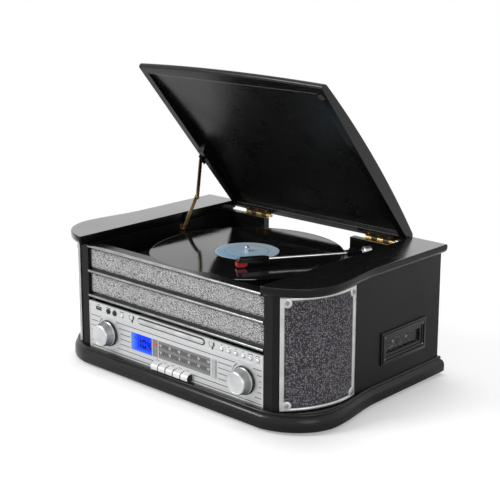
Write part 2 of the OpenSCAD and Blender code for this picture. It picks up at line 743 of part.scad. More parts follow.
module motor_pulley() {
    color([0.75, 0.65, 0.35]) from_front() translate([motor_pos[0], motor_pos[1], 0]) {
        translate([0, 0, deck_top - 17]) cylinder(h = 20, r = 1.5);
        translate([0, 0, platter_z - 1.6]) cylinder(h = 1, r = pulley_r + 1.4);
        translate([0, 0, platter_z - 0.8]) cylinder(h = 8.6, r = pulley_r);
        translate([0, 0, platter_z + 7]) cylinder(h = 1, r = pulley_r + 1.4);
    }
}

module belt_loop(grow) {
    hull() {
        circle(r = ring_r + grow, $fn = 96);
        rotate([0, 0, motor_dir]) translate([motor_dist, 0]) circle(r = pulley_r + grow, $fn = 32);
    }
}

module drive_belt() {
    color([0.05, 0.05, 0.05]) from_front() translate([record_x, record_y, platter_z + 1]) linear_extrude(5)
        difference() {
            belt_loop(0.3 + belt_t);
            belt_loop(0.3);
        }
}

// Draws along an arm that points to -Y from the pivot, turned towards the spindle
module on_arm(turn) {
    from_front() translate([arm_x, arm_y, arm_z]) rotate([0, 0, -turn]) children();
}

module tonearm_base() {
    drop = arm_z - deck_top;
    color([0.06, 0.06, 0.06]) {
        on_arm(0) difference() {
            union() {
                translate([0, 0, -drop]) cylinder(h = 5, r1 = 20, r2 = 18.5);
                translate([0, 0, -drop]) cylinder(h = drop - 15, r = 10);
            }
            translate([0, 0, -drop + 2]) cylinder(h = drop, r = 4 + run_gap);
        }
        on_arm(park_turn) {
            translate([5.5, -rest_at, -drop]) cylinder(h = 1.5, r = 3.5);
            translate([5.5, -rest_at, -drop]) cylinder(h = drop - 4, r = 3);
            box([-3, -rest_at - 3.5, -5], [9, -rest_at + 3.5, -2.8]);
            box([3.4, -rest_at - 3.5, -3], [9, -rest_at + 3.5, 2]);
        }
        from_front() {
            box([cue_at[0] - 3, cue_at[1] - 5, deck_top], [cue_at[0], cue_at[1] + 5, cue_at[2] + 5]);
            pin_x(cue_at[0] - 0.2, cue_at[0] + 8, cue_at[1], cue_at[2], 1.5);
        }
    }
}

module tonearm_gimbal() {
    color([0.1, 0.1, 0.1]) on_arm(arm_turn) {
        translate([0, 0, deck_top - arm_z + 2.6]) cylinder(h = arm_z - deck_top - 16, r = 4);
        translate([0, 0, -14.7]) cylinder(h = 3, r = 11);
        for (s = [0, 1]) mirror([s, 0, 0]) {
            box([6.6, -6, -12], [9.6, 6, 5]);
            pin_x(3, 7, 0, 0, 1.2);
        }
    }
}

module tonearm() {
    head = arm_len - head_len;
    color([0.75, 0.76, 0.78]) on_arm(arm_turn) {
        difference() {
            box([-6, -13, -5], [6, 11, 4.5]);
            pin_x(-7, 7, 0, 0, 1.2 + run_gap);
        }
        pin_y(-head, -12.8, 0, 0, 2.4);
        pin_y(10.8, 14, 0, 0, 3.5);
        pin_y(13.8, 26, 0, 0, 8.5);
        pin_y(25.8, 27.5, 0, 0, 6.5);
        translate([-7, 0, 0]) rotate([90, 0, 90]) linear_extrude(14)
            polygon([[-head + 2, -3.2], [-head + 2, 3.4], [-arm_len + 6, 3.4], [-arm_len + 2, 1.4],
                [-arm_len + 2, -2.8], [-arm_len + 18, -2.8], [-arm_len + 20, -7.5], [-arm_len + 35, -7.5],
                [-arm_len + 37, -3.2]]);
        box([6.8, -arm_len + 2.5, -0.4], [13, -arm_len + 8, 0.8]);
    }
}

module stylus_cartridge() {
    low = record_z + 1.6 + 0.4 - arm_z;
    color([0.8, 0.08, 0.06]) on_arm(arm_turn) translate([-6.5, 0, 0]) rotate([90, 0, 90]) linear_extrude(13)
        polygon([[-arm_len, low + 2], [-arm_len + 2, low], [-arm_len + 13, low], [-arm_len + 17, low + 3],
            [-arm_len + 17, -2.8], [-arm_len, -2.8]]);
}

module cue_lever() {
    y = cue_at[1];
    z = cue_at[2];
    color([0.7, 0.7, 0.72]) from_front() difference() {
        union() {
            pin_x(cue_at[0] + 0.4, cue_at[0] + 6, y, z, 4);
            box([cue_at[0] + 1.6, y - 28, z], [cue_at[0] + 4.6, y, z + 3]);
            translate([cue_at[0] + 3.1, y - 28, z + 1.5]) sphere(r = 3.4, $fn = 48);
        }
        pin_x(cue_at[0], cue_at[0] + 9, y, z, 1.5 + run_gap);
    }
}

module speed_lever() {
    color([0.7, 0.7, 0.72]) from_front() translate([speed_at[0], speed_at[1], deck_top]) {
        translate([0, 0, -6]) cylinder(h = 8, r = 2);
        translate([0, 0, 1.2]) cylinder(h = 3, r = 7.5);
        box([-2, -16, 1.8], [2, 0, 5.5]);
    }
}

// Places what is drawn for the closed lid in the lid's open rest position
module opened() {
    from_front() translate([0, hinge_y, hinge_z]) rotate([-lid_angle, 0, 0])
        translate([0, -hinge_y, -hinge_z]) children();
}

function crown(y) = lid_z + lid_crown - 11.5 * pow((y - hinge_y + 154) / 195, 2);
function lid_profile(f, b) = concat(
    [[b - 1.5, lid_z], [b, lid_z + 1.5]],
    curve([[b, lid_z + 4], [b, lid_z + 9], [b - 4, crown(b - 5)], [b - 10, crown(b - 10)]], 6),
    [for (i = [0 : 15]) let (y = b - 10 + (f + 9 - b + 10) * i / 16) [y, crown(y)]],
    curve([[f + 9, crown(f + 9)], [f + 3, crown(f + 3)], [f, lid_z + 8], [f, lid_z + 5]], 5),
    curve([[f, lid_z + 5], [f, lid_z + 2], [f + 1.5, lid_z], [f + 4, lid_z]], 4),
    [[f + 4, lid_z]]);
function lid_ring(x, e) =
    let (f = lid_front - lid_bow * (1 - pow(x / lid_half, 2)))
    [for (p = inset(lid_profile(f, lid_back), e)) [x, p[0], p[1]]];

module lid_panel() {
    inside = lid_half - lid_rail;
    front = lid_front + lid_rail;
    back = lid_back - lid_rail - 4;
    stops = concat([[-lid_half, 1.5], [-lid_half + 0.45, 0.45]],
        [for (i = [-5 : 5]) [i / 5 * (lid_half - 1.5), 0]],
        [[lid_half - 0.45, 0.45], [lid_half, 1.5]]);
    color([0.05, 0.05, 0.05]) opened() {
        difference() {
            loft([for (s = stops) lid_ring(s[0], s[1])]);
            translate([-inside, 0, 0]) rotate([90, 0, 90]) linear_extrude(2 * inside)
                polygon(concat([[front, lid_z - 1], [back, lid_z - 1]],
                    [for (i = [0 : 12]) let (y = back + (front - back) * i / 12) [y, crown(y) - lid_skin]]));
        }
        box([stay_x + 6, stay_lid_at[0] - 16.5, lid_z - 6],
            [stay_x + 20, stay_lid_at[0] + 17.5, crown(stay_lid_at[0]) - lid_skin + 1]);
    }
}

module hinge_lid_leaves() {
    color([0.75, 0.6, 0.3]) opened() both_sides() {
        box([hinge_x[0], rear_y + 1.5, lid_z - 1.1], [hinge_x[1], back_face - 0.1, lid_z]);
        for (i = [1, 3]) hinge_knuckle(i, 1.1);
    }
}

// One knuckle of a five-knuckle hinge, with its bridge to a leaf; lift is +1.1 or -1.1
module hinge_knuckle(i, lift) {
    w = (hinge_x[1] - hinge_x[0]) / 5;
    x0 = hinge_x[0] + i * w + 0.15;
    difference() {
        union() {
            pin_x(x0, x0 + w - 0.3, hinge_y, hinge_z, knuckle_r);
            box([x0, back_face - 1, lift > 0 ? lid_z - 1.1 : wing_z - 2],
                [x0 + w - 0.3, hinge_y - 0.8, lift > 0 ? lid_z : wing_z - 0.9]);
        }
        pin_x(x0 - 1, x0 + w + 1, hinge_y, hinge_z, hinge_pin_r + (lift > 0 ? 0.06 : -0.2));
    }
}

module hinge_fixed_leaves() {
    color([0.75, 0.6, 0.3]) from_front() both_sides() {
        box([hinge_x[0], rear_y + 1.5, wing_z - 2], [hinge_x[1], back_face - 0.1, wing_z - 0.9]);
        for (i = [0, 2, 4]) hinge_knuckle(i, -1.1);
        pin_x(hinge_x[0] + 0.15, hinge_x[1] - 0.15, hinge_y, hinge_z, hinge_pin_r);
    }
}

// One flat arm between two points of the YZ plane, with a hole at its start
module stay_arm(a, b, x) {
    d = b - a;
    translate([x, a[0], a[1]]) rotate([atan2(d[1], d[0]), 0, 0]) difference() {
        union() {
            box([0, 0, -stay_w / 2 + 0.1], [stay_t, norm(d), stay_w / 2 - 0.1]);
            pin_x(0, stay_t, 0, 0, stay_w / 2);
            pin_x(0, stay_t, norm(d), 0, stay_w / 2);
        }
        pin_x(-1, stay_t + 1, 0, 0, stay_pin_r + run_gap);
    }
}

module stay_anchor() {
    color([0.7, 0.58, 0.3]) from_front() {
        box([-bay_half, stay_anchor_at[0] - 6, stay_anchor_at[1] - 14],
            [-bay_half + 1.2, stay_anchor_at[0] + 6, stay_anchor_at[1] + 9]);
        pin_x(-bay_half + 1, stay_x + stay_t + 0.1, stay_anchor_at[0], stay_anchor_at[1], stay_pin_r);
        pin_x(-bay_half + 1, stay_x - 0.2, stay_anchor_at[0], stay_anchor_at[1], 4);
        pin_x(stay_x + stay_t + 0.1, stay_x + stay_t + 0.7, stay_anchor_at[0], stay_anchor_at[1], 3);
    }
}

module stay_lower_arm() {
    color([0.7, 0.58, 0.3]) from_front() {
        stay_arm(stay_anchor_at, stay_elbow, stay_x);
        pin_x(stay_x - 1, stay_x + 0.1, stay_elbow[0], stay_elbow[1], 2.8);
    }
}

module stay_upper_arm() {
    color([0.7, 0.58, 0.3]) from_front() {
        stay_arm(stay_top, stay_elbow, stay_x + stay_t + 1.2);
        pin_x(stay_x + 2 * stay_t + 1.1, stay_x + 2 * stay_t + 2, stay_elbow[0], stay_elbow[1], 2.8);
    }
}

module stay_lid_bracket() {
    x = stay_x + 2 * stay_t + 1.2;
    y = stay_lid_at[0];
    z = stay_lid_at[1];
    color([0.7, 0.58, 0.3]) opened() {
        box([x + 0.2, y - 6, z - 4.5], [stay_x + 6, y + 14, lid_z]);
        pin_x(x - stay_t - 0.1, x + 0.4, y, z, stay_pin_r);
        pin_x(x - stay_t - 0.7, x - stay_t - 0.1, y, z, 3);
    }
}

module cassette_bezel() {
    x = side_half;
    hw = window_half[0];
    hh = window_half[1];
    color([0.06, 0.06, 0.07]) from_front() translate([0, cassette_y, cassette_z]) difference() {
        union() {
            box([x, -55, -24.5], [x + 2.4, 55, 24.5]);
            box([x + 2.2, -52.5, -22], [x + 4, 52.5, 22]);
        }
        box([x + 2.6, -49, -18.5], [x + 5, 49, 18.5]);
        box([x + 1.4, -45.5, -14], [x + 5, 45.5, 14]);
        box([x - 1, -hw, -hh], [x + 5, hw, hh]);
    }
}

module cassette_mechanism() {
    ty = tunnel_half[0];
    tz = tunnel_half[1];
    x0 = cassette_x;
    color([0.3, 0.3, 0.32]) from_front() translate([0, cassette_y, cassette_z]) difference() {
        union() {
            box([x0, -ty - tunnel_t, -tz - tunnel_t], [side_half - 0.2, ty + tunnel_t, tz + tunnel_t]);
            box([side_half - panel_t - 2, -ty - 8, -tz - 8], [side_half - panel_t, ty + 8, tz + 8]);
            box([x0 + 4, -20, plinth_top - cassette_z], [x0 + 26, 20, -tz]);
        }
        box([x0 + tunnel_t, -ty, -tz], [side_half + 1, ty, tz]);
        pin_y(-ty - tunnel_t - 1, ty + tunnel_t + 1, side_half - 3, window_half[1] - 0.4, 1.2 + run_gap);
    }
}

module cassette_door() {
    ty = tunnel_half[0];
    color([0.12, 0.12, 0.14]) from_front() translate([0, cassette_y, cassette_z]) {
        box([side_half - 3.8, -ty + 0.5, -window_half[1] - 1.2],
            [side_half - 2.2, ty - 0.5, window_half[1] + 0.2]);
        pin_y(-ty - tunnel_t + 0.3, ty + tunnel_t - 0.3, side_half - 3, window_half[1] - 0.4, 1.2);
    }
}

module rear_sockets() {
    z = plinth_top + 35;
    color([0.12, 0.12, 0.13]) from_front() {
        difference() {
            union() {
                box([-60, back_face, plinth_top + 16], [60, back_face + 2, plinth_top + 54]);
                for (x = [-40, -20, 20, 40]) pin_y(back_face + 1, back_face + 8, x, z, 4.1);
                for (x = [-40, -20, 20, 40]) pin_y(rear_y, back_face + 1, x, z, 6);
            }
            for (x = [-40, -20, 20, 40]) pin_y(back_face - 4, back_face + 9, x, z, 1.6);
        }
        difference() {
            union() {
                box([-153, back_face, plinth_top + 18], [-107, back_face + 2, plinth_top + 52]);
                box([-144, rear_y - 4, plinth_top + 26], [-116, back_face + 1, plinth_top + 44]);
            }
            box([-140, back_face - 14, plinth_top + 30], [-120, back_face + 3, plinth_top + 40]);
        }
        for (x = [-134, -126]) pin_y(back_face - 14.5, back_face, x, plinth_top + 35, 1.2);
    }
}

base_plinth();
rubber_feet();
inner_partitions();
side_panels();
rear_panel();
front_board();
speaker_baffles();
left_wing_top();
right_wing_top();
speaker_frames();
speaker_cloths();
speaker_drivers();
cloth_strips();
trim_rails();
control_fascia();
lcd_display();
dial_window();
dial_pointer();
front_sockets();
circuit_boards();
volume_knob();
tuning_knob();
cd_mechanism();
cd_drawer();
function_key_1();
function_key_2();
function_key_3();
function_key_4();
function_key_5();
power_button();
play_button();
stop_button();
back_button();
skip_button();
memory_button();
eject_button();
turntable_deck();
platter();
centre_spindle();
vinyl_record();
drive_motor();
motor_pulley();
drive_belt();
tonearm_base();
tonearm_gimbal();
tonearm();
stylus_cartridge();
cue_lever();
speed_lever();
lid_panel();
hinge_lid_leaves();
hinge_fixed_leaves();
stay_lid_bracket();
stay_upper_arm();
stay_lower_arm();
stay_anchor();
cassette_bezel();
cassette_door();
cassette_mechanism();
rear_sockets();
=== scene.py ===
# %% [markdown]
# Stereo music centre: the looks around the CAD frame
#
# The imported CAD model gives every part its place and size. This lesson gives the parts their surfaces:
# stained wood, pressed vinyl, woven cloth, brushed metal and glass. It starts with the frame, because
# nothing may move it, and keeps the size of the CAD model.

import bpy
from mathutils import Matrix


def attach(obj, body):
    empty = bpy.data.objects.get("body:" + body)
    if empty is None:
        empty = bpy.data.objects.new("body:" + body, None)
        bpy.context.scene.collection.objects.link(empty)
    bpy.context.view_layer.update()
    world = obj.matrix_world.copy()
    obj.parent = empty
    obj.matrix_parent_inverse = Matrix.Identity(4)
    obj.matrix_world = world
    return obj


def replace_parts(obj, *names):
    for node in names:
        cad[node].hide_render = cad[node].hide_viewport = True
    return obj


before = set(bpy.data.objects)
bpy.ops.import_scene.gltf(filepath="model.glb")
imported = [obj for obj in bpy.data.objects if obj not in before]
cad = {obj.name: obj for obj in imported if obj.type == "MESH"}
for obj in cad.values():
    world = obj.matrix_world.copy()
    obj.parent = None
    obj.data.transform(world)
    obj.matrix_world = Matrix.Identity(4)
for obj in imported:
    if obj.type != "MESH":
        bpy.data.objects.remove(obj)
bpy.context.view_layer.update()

import math

import bmesh
import bpy
from mathutils import Matrix, Vector
from mathutils.geometry import tessellate_polygon

# %% [markdown]
# All drawing is done in millimetres from three planes of the real object: its middle, the front face of
# the control panel, and the table it stands on. One function turns such a place into Blender's metres, so
# each finished piece can stay at the origin with its place in its mesh.

# %% Places in millimetres
FASCIA_Y = -0.1605
WING_UNDER, WING_TOP = 194.0, 208.0
CASE_DEPTH, BACK_FACE = 341.0, 331.5
BAY, SIDE = 183.0, 243.0


def at(x, y, z):
    return Vector((x / 1000, FASCIA_Y + y / 1000, z / 1000))


print("the panel's face is at y =", FASCIA_Y, "m")

# %% [markdown]
# The camera comes before everything else. A fit of the cabinet's straight edges gave its place: low, to
# the right of the object, and turned 43 degrees. The fit also gave a lens of 86 mm on a 36 mm sensor.

# %% Camera
camera_data = bpy.data.cameras.new("photo_camera")
camera_data.sensor_width = 36
camera_data.lens = 85.68
camera_data.shift_x = 0.0178
camera_data.shift_y = -0.10
camera = bpy.data.objects.new("photo_camera", camera_data)
camera.location = (1.2010, -1.2943, 0.6749)
camera.rotation_euler = (math.radians(90 - 13.03), 0, math.radians(43.07))
bpy.context.collection.objects.link(camera)
bpy.context.scene.camera = camera
bpy.context.scene.view_settings.view_transform = "Standard"
print("camera at", tuple(round(v, 3) for v in camera.location))

# %% [markdown]
# Nodes are placed by one short function: it makes a shader node, joins a socket where it is given one,
# and sets a value where it is given a value. Every material and every shared group below uses it.

# %% Node helpers
def put(tree, kind, sockets=None, **settings):
    node = tree.nodes.new("ShaderNode" + kind)
    for key, value in settings.items():
        setattr(node, key, value)
    for key, value in (sockets or {}).items():
        if isinstance(value, bpy.types.NodeSocket):
            tree.links.new(value, node.inputs[key])
        else:
            node.inputs[key].default_value = value
    return node


def calc(tree, operation, a, b=0.0, c=0.0):
    return put(tree, "Math", {0: a, 1: b, 2: c}, operation=operation).outputs[0]


def times(tree, a, b):
    return calc(tree, "MULTIPLY", a, b)


def minus(tree, a, b):
    return calc(tree, "SUBTRACT", a, b)


def away_from(tree, value, middle):
    return calc(tree, "ABSOLUTE", minus(tree, value, middle))


def length_of(tree, a, b):
    return calc(tree, "SQRT", calc(tree, "ADD", times(tree, a, a), times(tree, b, b)))


def place_in_mm(tree, *axes):
    """The place on the object in metres, then its chosen axes in millimetres."""
    place = put(tree, "TexCoord").outputs["Object"]
    parts = put(tree, "SeparateXYZ", {0: place}).outputs
    return place, *[times(tree, parts[axis], 1000.0) for axis in axes]


def ramp(tree, value, low, high, to_low=0.0, to_high=1.0):
    return put(tree, "MapRange", {"Value": value, "From Min": low, "From Max": high,
                                  "To Min": to_low, "To Max": to_high}).outputs["Result"]


def blend(tree, factor, first, second):
    node = put(tree, "Mix", data_type="RGBA")
    for socket, value in ((node.inputs[0], factor), (node.inputs[6], first), (node.inputs[7], second)):
        if isinstance(value, bpy.types.NodeSocket):
            tree.links.new(value, socket)
        else:
            socket.default_value = value
    return node.outputs[2]


def rgb(r, g=None, b=None):
    return (r, r, r, 1) if g is None else (r, g, b, 1)


def new_group(name, inputs, outputs):
    tree = bpy.data.node_groups.new(name, "ShaderNodeTree")
    for label, kind, value in inputs:
        socket = tree.interface.new_socket(label, in_out="INPUT", socket_type="NodeSocket" + kind)
        socket.default_value = value
    for label, kind in outputs:
        tree.interface.new_socket(label, in_out="OUTPUT", socket_type="NodeSocket" + kind)
    return tree, tree.nodes.new("NodeGroupInput"), tree.nodes.new("NodeGroupOutput")


def use(tree, group, **values):
    node = put(tree, "Group", node_tree=group)
    for key, value in values.items():
        socket = node.inputs[key.replace("_", " ")]
        if isinstance(value, bpy.types.NodeSocket):
            tree.links.new(value, socket)
        else:
            socket.default_value = value
    return node.outputs


def new_material(name, **constants):
    material = bpy.data.materials.new(name)
    material.use_nodes = True
    tree = material.node_tree
    shader = tree.nodes["Principled BSDF"]
    for key, value in constants.items():
        shader.inputs[key.replace("_", " ")].default_value = value
    return material, tree, shader


def bump(tree, shader, height, strength=0.3, distance=0.0005):
    node = put(tree, "Bump", {"Height": height, "Strength": strength, "Distance": distance})
    tree.links.new(node.outputs["Normal"], shader.inputs["Normal"])


def feed(tree, shader, **values):
    for key, value in values.items():
        tree.links.new(value, shader.inputs[key.replace("_", " ")])


print("node helpers ready")

# %% [markdown]
# The room is a photographer's white table. The world is plain white where the camera, a mirror or a pane
# of glass looks at it, and softer where it lights the object. Three large lamps give the light its
# direction: the photograph is lit from the left, and the right side falls into shade.

# %% World and lamps
world = bpy.data.worlds.new("white_room")
world.use_nodes = True
bpy.context.scene.world = world
room = world.node_tree
room.nodes.clear()
rays = put(room, "LightPath")
seen = calc(room, "MAXIMUM", rays.outputs["Is Camera Ray"],
            calc(room, "MAXIMUM", rays.outputs["Is Glossy Ray"], rays.outputs["Is Transmission Ray"]))
soft_sky = put(room, "Background", {"Color": rgb(1), "Strength": 0.36})
white_wall = put(room, "Background", {"Color": rgb(1), "Strength": 1.0})
sky_mix = put(room, "MixShader", {0: seen, 1: soft_sky.outputs[0], 2: white_wall.outputs[0]})
put(room, "OutputWorld", {"Surface": sky_mix.outputs[0]})


def area_lamp(name, place, aim, size, watts):
    data = bpy.data.lights.new(name, "AREA")
    data.shape = "DISK"
    data.size = size
    data.energy = watts
    lamp = bpy.data.objects.new(name, data)
    lamp.location = place
    lamp.rotation_euler = (Vector(aim) - Vector(place)).to_track_quat("-Z", "Y").to_euler()
    lamp.visible_camera = False
    bpy.context.collection.objects.link(lamp)


area_lamp("key_lamp", (-1.1, -1.9, 1.5), (0, 0, 0.1), 1.0, 34)
area_lamp("top_lamp", (-0.3, 0.4, 2.4), (0, 0, 0.1), 1.4, 26)
area_lamp("right_fill", (1.9, -0.9, 0.7), (0, 0, 0.1), 1.2, 7)

# %% [markdown]
# The floor is a wide white disc. Where nothing shades it, it has to be as white as the world behind it,
# so a little light is added for the camera alone. The object's soft shadow stays. Further out the disc
# fades into the world, which leaves no edge behind the object.

# %% Floor
floor_material, tree, shader = new_material(
    "studio_floor", Roughness=0.7, Base_Color=rgb(0.86), Specular_IOR_Level=0.1)
floor_rays = put(tree, "LightPath")
glow = put(tree, "Emission", {"Color": rgb(1), "Strength": 0.3})
dark = put(tree, "Emission", {"Color": rgb(0), "Strength": 0.0})
lift = put(tree, "MixShader",
           {0: floor_rays.outputs["Is Camera Ray"], 1: dark.outputs[0], 2: glow.outputs[0]})
total = put(tree, "AddShader", {0: shader.outputs[0], 1: lift.outputs[0]})
from_middle = put(tree, "VectorMath", {0: put(tree, "TexCoord").outputs["Object"]},
                  operation="LENGTH").outputs["Value"]
edge = put(tree, "MapRange", {"Value": from_middle, "From Min": 0.5, "From Max": 0.95},
           interpolation_type="SMOOTHSTEP")
away = put(tree, "BsdfTransparent")
faded = put(tree, "MixShader", {0: edge.outputs["Result"], 1: total.outputs[0], 2: away.outputs[0]})
tree.links.new(faded.outputs[0], tree.nodes["Material Output"].inputs["Surface"])
floor_mesh = bpy.data.meshes.new("studio_floor")
disc = bmesh.new()
bmesh.ops.create_circle(disc, cap_ends=True, radius=1.0, segments=96)
disc.to_mesh(floor_mesh)
disc.free()
floor_mesh.materials.append(floor_material)
floor = bpy.data.objects.new("studio_floor", floor_mesh)
bpy.context.collection.objects.link(floor)
print("floor disc:", len(floor_mesh.vertices), "points")

# %% [markdown]
# Stained wood shows its grain as long pores. Noise that is stretched along the board gives both the slow
# change of tone and the fine pores. The group puts out masks only, so the same grain serves wood that
# runs along, across or up the cabinet: the stretch decides the direction.

# %% Group: wood grain
wood_grain, g_in, g_out = new_group(
    "wood_grain", [("Stretch", "Vector", (14, 240, 240)), ("Pore Level", "Float", 0.62)],
    [("Tone", "Float"), ("Pores", "Float"), ("Height", "Float")])
place = put(wood_grain, "TexCoord").outputs["Object"]
stretched = put(wood_grain, "VectorMath", {0: place, 1: g_in.outputs["Stretch"]},
                operation="MULTIPLY").outputs[0]
tone = put(wood_grain, "TexNoise",
           {"Vector": stretched, "Scale": 1.0, "Detail": 5.0, "Distortion": 0.15}).outputs[0]
fine = put(wood_grain, "TexNoise", {"Vector": stretched, "Scale": 4.2, "Detail": 2.0}).outputs[0]
pores = ramp(wood_grain, minus(wood_grain, fine, g_in.outputs["Pore Level"]), 0.0, 0.06)
height = minus(wood_grain, times(wood_grain, tone, 0.5), pores)
for label, value in (("Tone", tone), ("Pores", pores), ("Height", height)):
    wood_grain.links.new(value, g_out.inputs[label])

# %% Group: handling marks
wear, g_in, g_out = new_group("handling_marks", [("Size", "Float", 30.0)],
                              [("Smudge", "Float"), ("Speck", "Float")])
place = put(wear, "TexCoord").outputs["Object"]
cloud = put(wear, "TexNoise", {"Vector": place, "Scale": g_in.outputs["Size"], "Detail": 6.0}).outputs[0]
dots = put(wear, "TexVoronoi", {"Vector": place, "Scale": 420.0}).outputs["Distance"]
wear.links.new(ramp(wear, cloud, 0.35, 0.7), g_out.inputs["Smudge"])
wear.links.new(ramp(wear, dots, 0.05, 0.1, 1.0, 0.0), g_out.inputs["Speck"])
print("groups:", [g.name for g in bpy.data.node_groups])

# %% [markdown]
# Black stained wood is nearly black with a satin lacquer. Its colour comes far less from the stain than
# from what the lacquer mirrors, so the coat is a low one, and the pores only roughen it.

# %% Stained wood
def stained_wood(name, stretch, dark=0.006, light=0.011, pore_level=0.62, roughness=0.3, depth=0.08,
                 shine=0.5,
                 pore_light=0.016, lacquer=0.0):
    material, tree, shader = new_material(
        name, IOR=1.48, Specular_IOR_Level=shine, Coat_Roughness=0.2, Coat_IOR=1.5)
    grain = use(tree, wood_grain, Stretch=stretch, Pore_Level=pore_level)
    marks = use(tree, wear, Size=22.0)
    colour = blend(tree, grain["Tone"], rgb(dark, dark * 0.97, dark * 0.95),
                   rgb(light, light * 0.97, light * 0.94))
    colour = blend(tree, times(tree, grain["Pores"], 0.6), colour, rgb(pore_light))
    rough = calc(tree, "ADD", ramp(tree, marks["Smudge"], 0, 1, roughness - 0.04, roughness + 0.05),
                 times(tree, grain["Pores"], 0.08))
    slant = put(tree, "LayerWeight", {"Blend": 0.5}).outputs["Facing"]
    feed(tree, shader, Base_Color=colour, Roughness=rough,
         Coat_Weight=ramp(tree, slant, 0.55, 0.72, 0.0, lacquer))
    bump(tree, shader, grain["Height"], depth, 0.0002)
    return material


wood_across = stained_wood("stained_wood_across", (14, 240, 240), dark=0.003, light=0.006, shine=0.32,
                           roughness=0.24)
wood_along = stained_wood("stained_wood_along", (240, 14, 240), dark=0.003, light=0.006, roughness=0.22,
                          shine=0.2,
                          depth=0.015, pore_level=0.66, pore_light=0.008, lacquer=1.0)
wood_up = stained_wood("stained_wood_up", (240, 240, 12), dark=0.003, light=0.006, roughness=0.34, shine=0.2,
                       pore_light=0.01)
wood_inside_lid = stained_wood("stained_wood_inside_lid", (30, 760, 760), dark=0.003, light=0.007,
                               pore_level=0.63,
                               depth=0.04, shine=0.3, pore_light=0.16)
# A much lighter stain for painted highlights: thin light lines along the edges of the lid's rails.
painted_edge_highlight = stained_wood("painted_edge_highlight", (14, 240, 240), dark=0.16, light=0.24, pore_light=0.3,
                           roughness=0.25)
print("wood finishes: 5")

# %% [markdown]
# Most other parts are moulded plastic or plain metal. One function makes either from a base colour and
# a roughness, and adds the same smudges and a fine cast grain at the part's own scale.

# %% Plastic and metal
def plain_finish(name, colour, roughness, metallic=0.0, grain=900.0, depth=0.04, spread=0.12, shine=0.5,
                 **more):
    material, tree, shader = new_material(name, Metallic=metallic, Specular_IOR_Level=shine, **more)
    marks = use(tree, wear, Size=45.0)
    low = rgb(*[c * (1 - spread) for c in colour])
    high = rgb(*[min(1.0, c * (1 + spread)) for c in colour])
    feed(tree, shader, Base_Color=blend(tree, marks["Smudge"], low, high),
         Roughness=ramp(tree, marks["Smudge"], 0, 1, roughness - 0.03, roughness + 0.05))
    place = put(tree, "TexCoord").outputs["Object"]
    cast = put(tree, "TexNoise", {"Vector": place, "Scale": grain, "Detail": 2.0}).outputs[0]
    bump(tree, shader, cast, depth, 0.0003)
    return material


black_plastic = plain_finish("black_plastic", (0.006, 0.006, 0.0065), 0.38, depth=0.1, shine=0.3)
gloss_black = plain_finish("gloss_black", (0.006, 0.006, 0.007), 0.16, depth=0.01, shine=0.4)
soft_rubber = plain_finish("soft_rubber", (0.02, 0.02, 0.02), 0.75, grain=400, depth=0.2)
bright_metal = plain_finish("bright_metal", (0.74, 0.745, 0.75), 0.24, metallic=1.0, depth=0.01)
frame_metal = plain_finish("frame_metal", (0.58, 0.585, 0.59), 0.3, metallic=0.85, depth=0.02)
rail_metal = plain_finish("rail_metal", (0.34, 0.345, 0.35), 0.22, metallic=1.0, depth=0.01)
satin_metal = plain_finish("satin_metal", (0.62, 0.625, 0.63), 0.36, metallic=0.9, depth=0.02)
dull_steel = plain_finish("dull_steel", (0.36, 0.36, 0.37), 0.45, metallic=0.9)
old_brass = plain_finish("old_brass", (0.25, 0.16, 0.08), 0.3, metallic=1.0, spread=0.45, depth=0.06)
gold_brass = plain_finish("gold_brass", (0.42, 0.31, 0.13), 0.28, metallic=1.0, spread=0.35)
# A darkened copy of the hinge brass: painted shade for the hinge leaves on the lid.
painted_shade_brass = plain_finish("painted_shade_brass", (0.06, 0.045, 0.03), 0.35, metallic=0.8, spread=0.3)
red_plastic = plain_finish("red_plastic", (0.62, 0.012, 0.014), 0.28)
white_plastic = plain_finish("white_plastic", (0.75, 0.75, 0.74), 0.35)
pearl_key = plain_finish("pearl_key", (0.8, 0.8, 0.79), 0.3, metallic=0.25)
green_board = plain_finish("green_board", (0.02, 0.12, 0.05), 0.4)
paper_cone = plain_finish("paper_cone", (0.02, 0.02, 0.021), 0.8, depth=0.3)
printed_black = plain_finish("printed_black", (0.012, 0.012, 0.012), 0.5)
printed_white = plain_finish("printed_white", (0.85, 0.85, 0.84), 0.5)
# Near-black painted shade: it stands in for the shade under the rails, in the key gaps, round the drawer and
# in the sockets, and darkens the key sides.
painted_shade_black = plain_finish("painted_shade_black", (0.006, 0.006, 0.006), 0.7)
grey_plastic = plain_finish("grey_plastic", (0.12, 0.12, 0.125), 0.4)
printed_grey = plain_finish("printed_grey", (0.035, 0.035, 0.037), 0.5)
rib_metal = plain_finish("rib_metal", (0.30, 0.305, 0.31), 0.3, metallic=0.9, depth=0.02)
lcd_ink = plain_finish("lcd_ink", (0.0, 0.004, 0.05), 0.6, shine=0.1)
red_lamp = plain_finish("red_lamp", (0.75, 0.03, 0.02), 0.25, Emission_Color=(1.0, 0.05, 0.03, 1),
                        Emission_Strength=0.35)
bar_metal = plain_finish("bar_metal", (0.50, 0.505, 0.51), 0.35, metallic=0.25)
print("plain finishes:", len(bpy.data.materials))

# %% [markdown]
# Pieces are built as lists of points and faces. A small drawing class collects boxes, turned profiles,
# drawn profiles and tubes, each in the part's own millimetres, and turns them into one clean mesh.

# %% Drawing helpers
def around(steps):
    """The angles of a full turn."""
    return [2 * math.pi * i / steps for i in range(steps)]


def band(n):
    """The faces between two rings of n points."""
    return [(i, (i + 1) % n, n + (i + 1) % n, n + i) for i in range(n)]


def grid(columns, rows):
    """The faces of a sheet whose points lie row by row."""
    n = columns + 1
    return [(j * n + i, j * n + i + 1, (j + 1) * n + i + 1, (j + 1) * n + i)
            for j in range(rows) for i in range(columns)]


